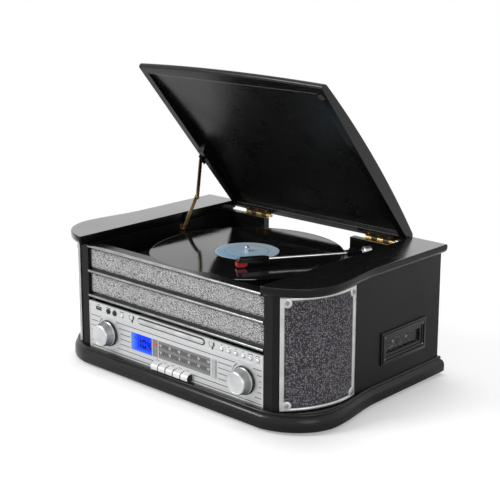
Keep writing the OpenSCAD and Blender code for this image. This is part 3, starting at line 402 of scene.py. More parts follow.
class Shape:
    def __init__(self):
        self.points = []
        self.faces = []
        self.finish = []

    def add(self, points, faces, finish=0):
        start = len(self.points)
        self.points += [Vector(p) for p in points]
        self.faces += [[start + i for i in face] for face in faces]
        self.finish += [finish] * len(faces)
        return self

    def move(self, change, since=0):
        self.points[since:] = [change @ p for p in self.points[since:]]
        return self

    def box(self, low, high, finish=0):
        (x0, y0, z0), (x1, y1, z1) = low, high
        corners = [(x, y, z) for x in (x0, x1) for y in (y0, y1) for z in (z0, z1)]
        sides = [(0, 1, 3, 2), (4, 6, 7, 5), (0, 4, 5, 1), (2, 3, 7, 6), (0, 2, 6, 4), (1, 5, 7, 3)]
        return self.add(corners, sides, finish)

    def turned(self, profile, centre=(0, 0, 0), axis="Z", steps=48, finish=0):
        rings, points, faces = [], [], []
        for radius, height in profile:
            ring = []
            for a in around(steps)[:1 if radius < 1e-6 else steps]:
                ring.append(len(points))
                points.append(Vector((radius * math.cos(a), radius * math.sin(a), height)))
            rings.append(ring)
        for lower, upper in zip(rings, rings[1:]):
            for i in range(steps):
                j = (i + 1) % steps
                face = [lower[i % len(lower)], lower[j % len(lower)], upper[j % len(upper)],
                        upper[i % len(upper)]]
                faces.append(list(dict.fromkeys(face)))
        turn = {"Z": Matrix.Identity(4), "-Y": Matrix.Rotation(math.pi / 2, 4, "X"),
                "Y": Matrix.Rotation(-math.pi / 2, 4, "X"), "X": Matrix.Rotation(math.pi / 2, 4, "Y"),
                "-X": Matrix.Rotation(-math.pi / 2, 4, "Y")}[axis]
        place = Matrix.Translation(centre) @ turn
        return self.add([place @ p for p in points], [f for f in faces if len(f) > 2], finish)

    def drawn(self, outline, x0, x1, finish=0):
        """An outline in Y and Z, drawn along X."""
        n = len(outline)
        points = [(x, y, z) for x in (x0, x1) for y, z in outline]
        return self.add(points, band(n) + [tuple(reversed(range(n))), tuple(range(n, 2 * n))], finish)

    def filled(self, *loops):
        """The first loop's inside, less that of the loops after it, in triangles."""
        loops = [[Vector(p) for p in loop] for loop in loops]
        return self.add([p for loop in loops for p in loop], [tuple(f) for f in tessellate_polygon(loops)])

    def stack(self, rings, finish=0, capped=True):
        n = len(rings[0])
        faces = [(j * n + i, j * n + (i + 1) % n, (j + 1) * n + (i + 1) % n, (j + 1) * n + i)
                 for j in range(len(rings) - 1) for i in range(n)]
        if capped:
            last = (len(rings) - 1) * n
            faces += [tuple(reversed(range(n))), tuple(range(last, last + n))]
        return self.add([p for ring in rings for p in ring], faces, finish)

    def tube(self, path, radius, steps=12, finish=0):
        rings = []
        side = Vector((0, 0, 1))
        for i, point in enumerate(path):
            ahead = (Vector(path[min(i + 1, len(path) - 1)]) - Vector(path[max(i - 1, 0)])).normalized()
            across = ahead.cross(side).normalized()
            up = across.cross(ahead)
            size = radius[i] if isinstance(radius, (list, tuple)) else radius
            rings.append([Vector(point) + size * (across * math.cos(a) + up * math.sin(a))
                          for a in around(steps)])
        return self.stack(rings, finish)


def finish_piece(name, shape, body, materials, smooth=35, bevel=0.0, segments=2, place=at,
                 outward=True):
    mesh = bpy.data.meshes.new(name)
    mesh.from_pydata([place(*p) for p in shape.points], [], shape.faces)
    for material in materials:
        mesh.materials.append(material)
    mesh.polygons.foreach_set("material_index", shape.finish)
    work = bmesh.new()
    work.from_mesh(mesh)
    bmesh.ops.remove_doubles(work, verts=work.verts, dist=1e-6)
    if outward:
        bmesh.ops.recalc_face_normals(work, faces=work.faces)
    work.to_mesh(mesh)
    work.free()
    mesh.shade_smooth()
    mesh.set_sharp_from_angle(angle=math.radians(smooth))
    piece = bpy.data.objects.new(name, mesh)
    bpy.context.collection.objects.link(piece)
    if bevel:
        rounding = piece.modifiers.new("rounded_edges", "BEVEL")
        rounding.width = bevel / 1000
        rounding.segments = segments
        rounding.limit_method = "ANGLE"
        rounding.angle_limit = math.radians(35)
        rounding.harden_normals = True
    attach(piece, body)
    return piece


def bezier(p, t):
    return tuple((1 - t) ** 3 * a + 3 * t * (1 - t) ** 2 * b + 3 * t * t * (1 - t) * c + t ** 3 * d
                 for a, b, c, d in zip(*p))


def curve(p, n):
    return [bezier(p, i / n) for i in range(n)]


print("drawing helpers ready")

# %% [markdown]
# Geometry Nodes set small things that repeat, such as screws, rivets and the ribs of a knob. The tree
# takes the points of a bare mesh, reads from each point which way it faces, puts a template there, makes
# the instances real and gives them their material. The result is baked to a plain mesh.

# %% Geometry Nodes: one template on many points
def make_setter():
    tree = bpy.data.node_groups.new("set_on_points", "GeometryNodeTree")
    for label, kind in (("Geometry", "Geometry"), ("Template", "Object"), ("Size", "Float"),
                        ("Material", "Material")):
        tree.interface.new_socket(label, in_out="INPUT", socket_type="NodeSocket" + kind)
    tree.interface.new_socket("Geometry", in_out="OUTPUT", socket_type="NodeSocketGeometry")
    entry, leave = tree.nodes.new("NodeGroupInput"), tree.nodes.new("NodeGroupOutput")
    info = tree.nodes.new("GeometryNodeObjectInfo")
    facing = tree.nodes.new("GeometryNodeInputNamedAttribute")
    facing.data_type = "FLOAT_VECTOR"
    facing.inputs["Name"].default_value = "facing"
    turned = tree.nodes.new("FunctionNodeAlignEulerToVector")
    turned.axis = "Z"
    spin = tree.nodes.new("GeometryNodeInputNamedAttribute")
    spin.data_type = "FLOAT"
    spin.inputs["Name"].default_value = "spin"
    about = tree.nodes.new("ShaderNodeCombineXYZ")
    set_all = tree.nodes.new("GeometryNodeInstanceOnPoints")
    twist = tree.nodes.new("GeometryNodeRotateInstances")
    real = tree.nodes.new("GeometryNodeRealizeInstances")
    paint = tree.nodes.new("GeometryNodeSetMaterial")
    link = tree.links.new
    link(entry.outputs["Geometry"], set_all.inputs["Points"])
    link(entry.outputs["Template"], info.inputs["Object"])
    link(info.outputs["Geometry"], set_all.inputs["Instance"])
    link(facing.outputs["Attribute"], turned.inputs["Vector"])
    link(turned.outputs["Rotation"], set_all.inputs["Rotation"])
    link(entry.outputs["Size"], set_all.inputs["Scale"])
    link(set_all.outputs["Instances"], twist.inputs["Instances"])
    link(spin.outputs["Attribute"], about.inputs["Z"])
    link(about.outputs["Vector"], twist.inputs["Rotation"])
    link(twist.outputs["Instances"], real.inputs["Geometry"])
    link(real.outputs["Geometry"], paint.inputs["Geometry"])
    link(entry.outputs["Material"], paint.inputs["Material"])
    link(paint.outputs["Geometry"], leave.inputs["Geometry"])
    return tree


setter = make_setter()


def set_on_points(name, template, places, body, material, size=1.0, smooth=35):
    """places: (point in mm, direction it faces, spin in radians)."""
    bare = bpy.data.meshes.new(name + "_points")
    bare.from_pydata([at(*p) for p, _, _ in places], [], [])
    facing = bare.attributes.new("facing", "FLOAT_VECTOR", "POINT")
    facing.data.foreach_set("vector", [c for _, f, _ in places for c in f])
    spin = bare.attributes.new("spin", "FLOAT", "POINT")
    spin.data.foreach_set("value", [s for _, _, s in places])
    carrier = bpy.data.objects.new(name + "_points", bare)
    bpy.context.collection.objects.link(carrier)
    nodes = carrier.modifiers.new("set_on_points", "NODES")
    nodes.node_group = setter
    sockets = {s.name: s.identifier for s in setter.interface.items_tree if s.in_out == "INPUT"}
    nodes[sockets["Template"]] = template
    nodes[sockets["Size"]] = size
    nodes[sockets["Material"]] = material
    graph = bpy.context.evaluated_depsgraph_get()
    mesh = bpy.data.meshes.new_from_object(carrier.evaluated_get(graph))
    bpy.data.objects.remove(carrier)
    mesh.name = name
    mesh.materials.clear()
    mesh.materials.append(material)
    mesh.set_sharp_from_angle(angle=math.radians(smooth))
    piece = bpy.data.objects.new(name, mesh)
    bpy.context.collection.objects.link(piece)
    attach(piece, body)
    print(name, len(places), "set,", len(mesh.polygons), "faces")
    return piece


def template(name, shape):
    """A small mesh in metres at the origin, kept out of the render: only its copies show."""
    mesh = bpy.data.meshes.new(name)
    mesh.from_pydata([p / 1000 for p in shape.points], [], shape.faces)
    work = bmesh.new()
    work.from_mesh(mesh)
    bmesh.ops.remove_doubles(work, verts=work.verts, dist=1e-7)
    bmesh.ops.recalc_face_normals(work, faces=work.faces)
    work.to_mesh(mesh)
    work.free()
    mesh.shade_smooth()
    return bpy.data.objects.new(name, mesh)


# %% [markdown]
# A cross-head screw is a flat dome with a cross sunk into it. The cross is cut as a hole in the cap's
# outline, which Blender's polygon tool fills with triangles, and gets walls and a floor of its own.

# %% Template: cross-head screw
def screw_template(name, radius, height):
    arm, wide, depth = radius * 0.55, radius * 0.14, height * 0.7
    rim = [Vector((radius * 0.8 * math.cos(a), radius * 0.8 * math.sin(a), height)) for a in around(20)]
    base = [Vector((radius * math.cos(a), radius * math.sin(a), 0)) for a in around(20)]
    cross = [Vector((x, y, height)) for x, y in
             ((arm, -wide), (arm, wide), (wide, wide), (wide, arm), (-wide, arm), (-wide, wide),
              (-arm, wide),
              (-arm, -wide), (-wide, -wide), (-wide, -arm), (wide, -arm), (wide, -wide))]
    foot = [p - Vector((0, 0, depth)) for p in cross]
    shape = Shape().add(base + rim, band(20)).filled(rim, list(reversed(cross)))
    shape.add(cross + foot, band(12)).filled(foot).add(base, [tuple(range(20))])
    return template(name, shape)


screw = screw_template("screw_template", 1.0, 0.5)
print("screw faces:", len(screw.data.polygons))

# %% [markdown]
# The cabinet's top boards and its plinth bulge round the speakers. Both follow one outline: a straight
# front, a wide curve round the corner, and a run back to the straight side. The boards are rebuilt here
# from that outline with many more steps than the CAD solid has, so that their round noses shade smoothly.

# %% Outline of the bulging boards
def bulge(x0, grow, back, fine):
    out = SIDE + 17.5 + grow
    return (curve(((x0, -12.5), (x0 + 42, -5.5), (out, 28), (out, 66)), 14 * fine)
            + curve(((out, 66), (out, 104), (SIDE + 7, 130), (SIDE + 7, 170)), 10 * fine)
            + [(SIDE + 7, 170), (SIDE + 7, back)])


def inset(outline, sizes):
    moved = []
    for i, here in enumerate(outline):
        a, b, c = (Vector(outline[(i + k) % len(outline)]) for k in (-1, 0, 1))
        u, v = (b - a).normalized(), (c - b).normalized()
        nu, nv = Vector((u.y, -u.x)), Vector((v.y, -v.x))
        moved.append(b - (nu + nv) / (1 + nu.dot(nv)) * sizes[i])
    return moved


def rounded_board(shape, outline, low, high, z0, z1, steps):
    rings = [[(p.x, p.y, z0) for p in inset(outline, [r + 0.8 for r in low])]]
    for j in range(steps[0] + 1):
        a = math.pi / 2 * j / steps[0]
        ring = inset(outline, [r * (1 - math.sin(a)) for r in low])
        rings.append([(p.x, p.y, z0 + r * (1 - math.cos(a))) for p, r in zip(ring, low)])
    for j in range(steps[1] + 1):
        a = math.pi / 2 * j / steps[1]
        ring = inset(outline, [r * (1 - math.cos(a)) for r in high])
        rings.append([(p.x, p.y, z1 - r * (1 - math.sin(a))) for p, r in zip(ring, high)])
    rings.append([(p.x, p.y, z1) for p in inset(outline, [r + 0.8 for r in high])])
    return shape.stack(rings)


# %% Plinth and top boards
right_side = bulge(BAY + 3, 1, CASE_DEPTH, 2)
plinth_outline = right_side + [(-x, y) for x, y in reversed(right_side)]
PLINTH_MOULD = [(4.4, 4.0), (3.4, 4.0), (1.6, 4.3), (0.5, 5.2), (0.0, 6.6), (0.0, 15.5), (0.25, 18.0),
                (0.9, 20.4), (1.9, 22.5),
                (3.1, 24.0), (4.2, 24.8), (4.6, 25.1), (4.7, 25.7), (4.3, 26.4), (4.0, 27.2), (4.1, 28.2),
                (4.6, 29.2), (5.4, 29.8), (6.4, 30.0), (7.4, 30.0)]
moulded = Shape().stack([[(p.x, p.y, z) for p in inset(plinth_outline, [depth] * len(plinth_outline))]
                         for depth, z in PLINTH_MOULD])
plinth = finish_piece("moulded_plinth", moulded, "cabinet", [wood_across], smooth=40)
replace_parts(plinth, "base_plinth")

inner = BAY + 3
wing_outline = ([(inner + 1.5, -12.4)] + bulge(inner + 3, 0, CASE_DEPTH - 4, 2)
                + [(inner + 1.5, CASE_DEPTH - 4), (inner, CASE_DEPTH - 5.5), (inner, -11)])
under = [1.0 if x < inner + 2 else 8.0 for x, _ in wing_outline]
over = [1.0 if x < inner + 2 else 1.8 for x, _ in wing_outline]
for side, name, node in ((1, "top_board_right", "right_wing_top"), (-1, "top_board_left", "left_wing_top")):
    board = rounded_board(Shape(), wing_outline, under, over, WING_UNDER, WING_TOP, (10, 5))
    board.move(Matrix.Scale(side, 4, (1, 0, 0)))
    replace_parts(finish_piece(name, board, "cabinet", [wood_along], smooth=30), node)
print("boards:", len(plinth.data.polygons), "faces in the plinth")

# %% [markdown]
# The lid is a shallow dome, hollow inside its rim. It is drawn shut, because its shape is simple there,
# and then turned open about the hinge by the angle that the CAD model rests at.

# %% Lid
LID_UNDER, HINGE_Y, HINGE_Z, LID_OPEN = 194.8, 334.3, 193.4, math.radians(50)
LID_FRONT, LID_BACK, LID_HALF = -12.0, 331.6, 184.5
LID_RAIL, LID_SKIN, LID_BOW, LID_CROWN = 13.0, 8.0, 6.0, 21.5
open_lid = (Matrix.Translation((0, HINGE_Y, HINGE_Z)) @ Matrix.Rotation(-LID_OPEN, 4, "X")
            @ Matrix.Translation((0, -HINGE_Y, -HINGE_Z)))


def on_lid(x, y, z):
    return at(*(open_lid @ Vector((x, y, z))))


def crown(y):
    return LID_UNDER + LID_CROWN - 11.5 * ((y - HINGE_Y + 154) / 195) ** 2


def lid_profile(f):
    b = LID_BACK
    return ([(b - 1.5, LID_UNDER), (b, LID_UNDER + 1.5)]
            + curve(((b, LID_UNDER + 4), (b, LID_UNDER + 9), (b - 4, crown(b - 5)), (b - 10, crown(b - 10))),
                    8)
            + [(y, crown(y)) for y in (b - 10 + (f + 9 - b + 10) * i / 40 for i in range(40))]
            + curve(((f + 9, crown(f + 9)), (f + 3, crown(f + 3)), (f, LID_UNDER + 8), (f, LID_UNDER + 5)),
                    8)
            + curve(((f, LID_UNDER + 5), (f, LID_UNDER + 2), (f + 1.5, LID_UNDER), (f + 4, LID_UNDER)), 6)
            + [(f + 4, LID_UNDER)])


def lid_shape():
    hole_x, hole_front, hole_back = LID_HALF - LID_RAIL, LID_FRONT + LID_RAIL, LID_BACK - LID_RAIL - 4
    inner_x = [-hole_x + 2 * hole_x * i / 24 for i in range(25)]
    stations = [-LID_HALF] + inner_x + [LID_HALF]
    shape = Shape()
    rows = []
    for x in stations:
        f = LID_FRONT - LID_BOW * (1 - (x / LID_HALF) ** 2)
        rows.append([(x, y, z) for y, z in lid_profile(f)])
    n = len(rows[0])
    shape.add([p for row in rows for p in row], grid(n - 1, len(rows) - 1))
    shape.add(rows[0], [tuple(range(n))]).add(rows[-1], [tuple(range(n))])
    for j, (here, there) in enumerate(zip(rows, rows[1:])):
        if j in (0, len(rows) - 2):
            edge, other, nx = (here, there, inner_x[0]) if j == 0 else (there, here, inner_x[-1])
            shape.add([edge[-1], other[-1], (nx, hole_front, LID_UNDER), (nx, hole_back, LID_UNDER),
                       other[0], edge[0]],
                      [(0, 1, 2, 3, 4, 5)])
            continue
        shape.add([here[-1], there[-1], (there[0][0], hole_front, LID_UNDER),
                   (here[0][0], hole_front, LID_UNDER)],
                  [(0, 1, 2, 3)])
        shape.add([(here[0][0], hole_back, LID_UNDER), (there[0][0], hole_back, LID_UNDER), there[0],
                   here[0]],
                  [(0, 1, 2, 3)])
    ys = [hole_front + (hole_back - hole_front) * i / 32 for i in range(33)]
    ceiling = [(x, y, crown(y) - LID_SKIN) for x in inner_x for y in ys]
    m = len(ys)
    shape.add(ceiling, [(j * m + i, (j + 1) * m + i, (j + 1) * m + i + 1, j * m + i + 1)
                        for j in range(24) for i in range(m - 1)], 1)
    side_walls = [[(x, y) for y in ys] for x in (-hole_x, hole_x)]
    for line in side_walls + [[(x, y) for x in inner_x] for y in (hole_front, hole_back)]:
        wall = [(x, y, z) for x, y in line for z in (LID_UNDER, crown(y) - LID_SKIN)]
        shape.add(wall, [(2 * i, 2 * i + 1, 2 * i + 3, 2 * i + 2) for i in range(len(line) - 1)])
    return shape


lid = finish_piece("domed_lid", lid_shape(), "lid", [wood_across, wood_inside_lid], smooth=30,
                   bevel=0.7, place=on_lid)
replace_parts(lid, "lid_panel")
STAY_X = -180.6
stay_block = Shape().drawn([(178.5, 188.8), (212.5, 188.8), (212.5, 209), (172, 209), (172, 200)],
                           STAY_X + 6, STAY_X + 20)
finish_piece("stay_block", stay_block, "lid", [wood_across], bevel=0.8, place=on_lid)
pad = Shape().turned([(0, -1.4), (4.4, -1.4), (5, -0.9), (5, 0.4), (0, 0.4)], (175, 8, LID_UNDER), steps=28)
finish_piece("lid_pad", pad, "lid", [soft_rubber], place=on_lid)
# Painted highlights: three thin light strips along the rail edges on the lid's underside.
painted_highlight_lines = Shape()
for y0, y1 in ((HINGE_Y - 19.4, HINGE_Y - 18.9), (HINGE_Y - 4.6, HINGE_Y - 4.2), (1.8, 2.2)):
    painted_highlight_lines.drawn([(y0, LID_UNDER + 0.2), (y0, LID_UNDER - 0.12), (y1, LID_UNDER - 0.12),
                (y1, LID_UNDER + 0.2)], -170, 170)
finish_piece("worn_lid_edges", painted_highlight_lines, "lid", [painted_edge_highlight], place=on_lid)
print("lid:", len(lid.data.polygons), "faces")

# %% [markdown]
# Two strips of flecked cloth cover the front, and a curved cloth covers each speaker. The real cloth is
# woven of light and dark yarn. Its pattern follows the cloth, so it reads the piece's own UV map, which
# is laid out in metres. One group makes the weave and its flecks for both cloths.

# %% Group: flecked weave
weave, g_in, g_out = new_group(
    "flecked_weave", [("Thread", "Float", 0.9), ("Fleck", "Float", 2.2), ("Cover", "Float", 0.5)],
    [("Light Fleck", "Float"), ("Dark Fleck", "Float"), ("Height", "Float")])
flat = put(weave, "UVMap", uv_map="cloth").outputs["UV"]
in_mm = put(weave, "VectorMath", {0: flat, 1: (1000, 1000, 1000)}, operation="MULTIPLY").outputs[0]
wobble = put(weave, "TexNoise", {"Vector": in_mm, "Scale": 0.9, "Detail": 1.0})
shift = put(weave, "VectorMath", {0: wobble.outputs["Color"], 1: (0.5, 0.5, 0.5)},
            operation="SUBTRACT").outputs[0]
bent = put(weave, "VectorMath", {0: shift, 1: (1.6, 1.6, 0), 2: in_mm}, operation="MULTIPLY_ADD").outputs[0]
split = put(weave, "SeparateXYZ", {0: in_mm})
threads = []
for axis in ("X", "Y"):
    turns = calc(weave, "DIVIDE", times(weave, split.outputs[axis], 2 * math.pi), g_in.outputs["Thread"])
    threads.append(calc(weave, "SINE", turns))
cloth_height = calc(weave, "MULTIPLY_ADD", times(weave, threads[0], threads[1]), 0.5, 0.5)
scale = calc(weave, "DIVIDE", 1.0, g_in.outputs["Fleck"])
masks = []
for stretch, seed in (((1.0, 2.3, 1.0), 0.0), ((2.3, 1.0, 1.0), 31.7), ((1.5, 1.5, 1.0), 77.1)):
    where = put(weave, "VectorMath", {0: bent, 1: stretch, 2: (seed, seed, seed)},
                operation="MULTIPLY_ADD").outputs[0]
    cells = put(weave, "TexVoronoi", {"Vector": where, "Scale": scale}, voronoi_dimensions="2D")
    pick = put(weave, "SeparateColor", {0: cells.outputs["Color"]})
    chosen = calc(weave, "LESS_THAN", pick.outputs[0], g_in.outputs["Cover"])
    masks.append(times(weave, ramp(weave, cells.outputs["Distance"], 0.28, 0.42, 1.0, 0.0), chosen))
weave.links.new(calc(weave, "MAXIMUM", masks[0], masks[1]), g_out.inputs["Light Fleck"])
weave.links.new(masks[2], g_out.inputs["Dark Fleck"])
weave.links.new(cloth_height, g_out.inputs["Height"])


# %% Cloth finishes
def flecked_cloth(name, ground, light, dark, thread, fleck, cover):
    material, tree, shader = new_material(name, Roughness=0.92, Specular_IOR_Level=0.15, Sheen_Weight=0.08)
    woven = use(tree, weave, Thread=thread, Fleck=fleck, Cover=cover)
    # Painted shade in the weave: thread tops are lighter and the hollows between threads darker.
    colour = blend(tree, times(tree, woven["Height"], 0.5), rgb(*ground), rgb(*[c * 1.5 for c in ground]))
    colour = blend(tree, woven["Dark Fleck"], colour, rgb(*dark))
    colour = blend(tree, woven["Light Fleck"], colour, rgb(*light))
    feed(tree, shader, Base_Color=colour)
    bump(tree, shader, calc(tree, "ADD", woven["Height"], woven["Light Fleck"]), 0.5, 0.0003)
    return material


strip_finish = flecked_cloth("strip_cloth", (0.15, 0.145, 0.155), (0.80, 0.79, 0.79), (0.02, 0.02, 0.022),
                             0.8, 2.5, 0.66)
speaker_finish = flecked_cloth("speaker_cloth", (0.058, 0.053, 0.062), (0.30, 0.29, 0.31),
                               (0.022, 0.02, 0.024), 0.9, 3.2,
                               0.30)


# %% Cloth sheets
def cloth_sheet(name, columns, rows, surface, size, material, node):
    """surface(u, v) gives a place for u and v from 0 to 1; size is the flat cloth's width and height."""
    points = [at(*surface(i / columns, j / rows)) for j in range(rows + 1) for i in range(columns + 1)]
    mesh = bpy.data.meshes.new(name)
    mesh.from_pydata(points, [], grid(columns, rows))
    layer = mesh.uv_layers.new(name="cloth")
    for loop in mesh.loops:
        j, i = divmod(loop.vertex_index, columns + 1)
        layer.data[loop.index].uv = (i / columns * size[0] / 1000, j / rows * size[1] / 1000)
    mesh.materials.append(material)
    mesh.shade_smooth()
    piece = bpy.data.objects.new(name, mesh)
    bpy.context.collection.objects.link(piece)
    body_of_cloth = piece.modifiers.new("cloth_thickness", "SOLIDIFY")
    body_of_cloth.thickness = 0.0006
    body_of_cloth.offset = -1
    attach(piece, "cabinet")
    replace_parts(piece, node)
    return piece


HALF = BAY - 0.4
RAILS = (111.0, 150.5, 190.0)
STRIP_Y = 5.4
for name, low, high in (("cloth_strip_lower", RAILS[0] + 6.8, RAILS[1] + 0.4),
                        ("cloth_strip_upper", RAILS[1] + 6.8, RAILS[2] + 0.4)):
    cloth_sheet(name, 60, 8,
                lambda u, v, a=low, b=high: (-HALF + 2 * HALF * u, STRIP_Y + 0.1, a + (b - a) * v),
                (2 * HALF, high - low), strip_finish, "cloth_strips")

CORNER_X, CORNER_Y, CLOTH_R = 130.5, 92.0, 116.5
CLOTH_FROM, CLOTH_TO, CLOTH_Z = math.radians(-48.5), math.radians(13.5), (31.2, 192.8)
for side, name in ((1, "speaker_cloth_right"), (-1, "speaker_cloth_left")):
    def round_corner(u, v, side=side):
        a = CLOTH_FROM + (CLOTH_TO - CLOTH_FROM) * (u if side > 0 else 1 - u)
        return (side * (CORNER_X + CLOTH_R * math.cos(a)), CORNER_Y + CLOTH_R * math.sin(a),
                CLOTH_Z[0] + (CLOTH_Z[1] - CLOTH_Z[0]) * v)
    cloth_sheet(name, 48, 24, round_corner, (CLOTH_R * (CLOTH_TO - CLOTH_FROM), CLOTH_Z[1] - CLOTH_Z[0]),
                speaker_finish, "speaker_cloths")
print("cloth sheets: 4")

# %% [markdown]
# Three bright rails frame the cloth. The real ones are plated plastic with a rounded bead. Their outline
# is drawn with a smooth curve and pulled across the front. A thin near-black strip under each rail is
# painted shadow.

# %% Rails
def bead(z0, height=4.0):
    front = [(-1.6 + 1.8 * (1 - math.sin(a)), z0 + height / 2 + (height / 2) * -math.cos(a))
             for a in (math.pi * i / 14 for i in range(15))]
    return [(2.4, z0)] + front + [(2.4, z0 + height)]


rails = Shape()
for z in RAILS:
    rails.drawn(bead(z), -HALF, HALF)
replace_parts(finish_piece("bright_rails", rails, "cabinet", [rail_metal], smooth=50),
            "trim_rails")
# Painted shadow: a thin near-black strip just below each rail.
shade = Shape()
for z in RAILS:
    shade.drawn([(5.2, z - 0.9), (0.6, z - 0.9), (0.2, z - 0.5), (0.2, z - 0.05), (5.2, z - 0.05)], -HALF,
                HALF)
finish_piece("rail_undercuts", shade, "cabinet", [painted_shade_black])

# %% [markdown]
# The control panel is silver-painted plastic with a fine brushing. Below the divider it has thin dark
# lines, which stop short of the knobs, the display and the keys. The lines are printed on a flat panel,
# so they belong in the finish: height repeats them, and distance from each knob leaves a plain ring.

# %% Control panel finish
VOLUME_X, TUNING_X, KNOB_Z, BAND_Z = -138.5, 147.0, 61.0, 96.0
LCD, DIAL = (-63.3, 62.0, 22.8, 13.8), (21.0, 62.5, 60.3, 13.5)
LCD_LEFT, LCD_RIGHT, LCD_LOW, LCD_HIGH = LCD[0] - LCD[2], LCD[0] + LCD[2], LCD[1] - LCD[3], LCD[1] + LCD[3]
DIAL_LEFT, DIAL_RIGHT = DIAL[0] - DIAL[2], DIAL[0] + DIAL[2]
DIAL_LOW, DIAL_HIGH = DIAL[1] - DIAL[3], DIAL[1] + DIAL[3]
KEY_X, KEY_PITCH, KEY_WIDE, KEY_Z = 4.0, 15.8, 14.4, 32.0
LINE_PITCH, TOP_LINE, LINE_COUNT, PLAIN_RING = 8.2, 82.5, 7, 27.5
fascia_finish, tree, shader = new_material("brushed_panel", Metallic=0.5, Specular_IOR_Level=0.5)
place, x_mm, z_mm = place_in_mm(tree, "X", "Z")
below_top = calc(tree, "DIVIDE", minus(tree, TOP_LINE + LINE_PITCH / 2, z_mm), LINE_PITCH)
from_line = away_from(tree, calc(tree, "FRACT", below_top), 0.5)
line = ramp(tree, from_line, 0.05, 0.075, 1.0, 0.0)


def outside_box(cx, cz, half_x, half_z):
    off_x = calc(tree, "GREATER_THAN", away_from(tree, x_mm, cx), half_x)
    off_z = calc(tree, "GREATER_THAN", away_from(tree, z_mm, cz), half_z)
    return calc(tree, "MAXIMUM", off_x, off_z)


clear = [calc(tree, "GREATER_THAN", below_top, 0.0), calc(tree, "LESS_THAN", below_top, float(LINE_COUNT)),
         calc(tree, "LESS_THAN", calc(tree, "ABSOLUTE", x_mm), BAY - 4),
         outside_box(LCD[0], LCD[1], LCD[2] + 2, LCD[3] + 2),
         outside_box(DIAL[0] + 6, DIAL[1], DIAL[2] + 9, DIAL[3] + 2),
         outside_box(KEY_X, KEY_Z + 5, 2.5 * KEY_PITCH + 2, 13)]
for knob in (VOLUME_X, TUNING_X):
    reach = length_of(tree, minus(tree, x_mm, knob), minus(tree, z_mm, KNOB_Z))
    clear.append(calc(tree, "GREATER_THAN", reach, PLAIN_RING))
for mask in clear:
    line = times(tree, line, mask)
stretched = put(tree, "VectorMath", {0: place, 1: (12, 900, 900)}, operation="MULTIPLY").outputs[0]
brush = put(tree, "TexNoise", {"Vector": stretched, "Scale": 1.0, "Detail": 4.0}).outputs[0]
silver = blend(tree, ramp(tree, brush, 0.3, 0.7), rgb(0.60, 0.605, 0.61), rgb(0.72, 0.725, 0.73))
feed(tree, shader, Base_Color=blend(tree, line, silver, rgb(0.02)),
     Roughness=ramp(tree, brush, 0.3, 0.7, 0.32, 0.44))
bump(tree, shader, minus(tree, times(tree, brush, 0.25), line), 0.25, 0.0003)
print("panel lines every", LINE_PITCH, "mm")

# %% [markdown]
# Each knob is a turned metal cap on a dark skirt. Fine ribs run along its side for grip. The ribs are
# one small template set on a ring of points.

# %% Knobs
KNOB_RIBS = 90


def turned_knob(name, x, node, body):
    skirt = Shape().turned([(0, 1), (20.5, 1), (20.5, 3.0), (20.2, 3.6), (19.6, 4.0), (0, 4.0)],
                           (x, 0, KNOB_Z), "-Y", 80)
    finish_piece(name + "_skirt", skirt, body, [gloss_black], smooth=30)
    cap = Shape().turned([(0, 3.8), (19.0, 3.8), (19.1, 4.2), (19.0, 4.8), (18.5, 5.2), (16.6, 18.0),
                          (16.4, 18.7),
                          (15.9, 19.3), (15.2, 19.7), (14.4, 19.85), (13.9, 19.7), (13.6, 19.4), (0, 19.5)],
                         (x, 0, KNOB_Z), "-Y", 112)
    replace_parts(finish_piece(name + "_cap", cap, body, [knob_metal], smooth=28), node)
    rib = Shape().turned([(0, 0), (0.4, 0), (0.34, 11.4), (0, 11.8)], steps=6)
    ribs = template(name + "_rib", rib)
    places = []
    lean = math.atan2(1.9, 12.8)
    for a in around(KNOB_RIBS):
        out = Vector((math.cos(a), 0, math.sin(a)))
        way = Vector((0, -1, 0)) * math.cos(lean) - out * math.sin(lean)
        places.append((Vector((x, -5.8, KNOB_Z)) + out * 18.35, way, 0.0))
    set_on_points(name + "_ribs", ribs, places, body, rib_metal)


knob_metal = plain_finish("knob_metal", (0.66, 0.665, 0.67), 0.3, metallic=0.85, depth=0.02)
turned_knob("volume", VOLUME_X, "volume_knob", "volume_knob")
turned_knob("tuning", TUNING_X, "tuning_knob", "tuning_knob")

# %% [markdown]
# A printed arc beside each knob shows which way it turns. An arc is a thin strip that gets wider towards
# its end, bent round the knob's axis just above the panel.

# %% Printed arcs
def arc_strip(shape, x, radius, start, end, wide, y0=-0.12, y1=0.05, steps=14):
    rings = []
    for i in range(steps + 1):
        t = i / steps
        a = math.radians(start + (end - start) * t)
        half = wide * (0.15 + 0.85 * t) / 2
        rings.append([(x + (radius + r) * math.cos(a), y, KNOB_Z + (radius + r) * math.sin(a))
                      for r, y in ((-half, y0), (half, y0), (half, y1), (-half, y1))])
    return shape.stack(rings)


arcs = Shape()
for x in (VOLUME_X, TUNING_X):
    arc_strip(arcs, x, 24.6, 166, 124, 1.5)
finish_piece("printed_arcs", arcs, "cabinet", [printed_black], smooth=30)
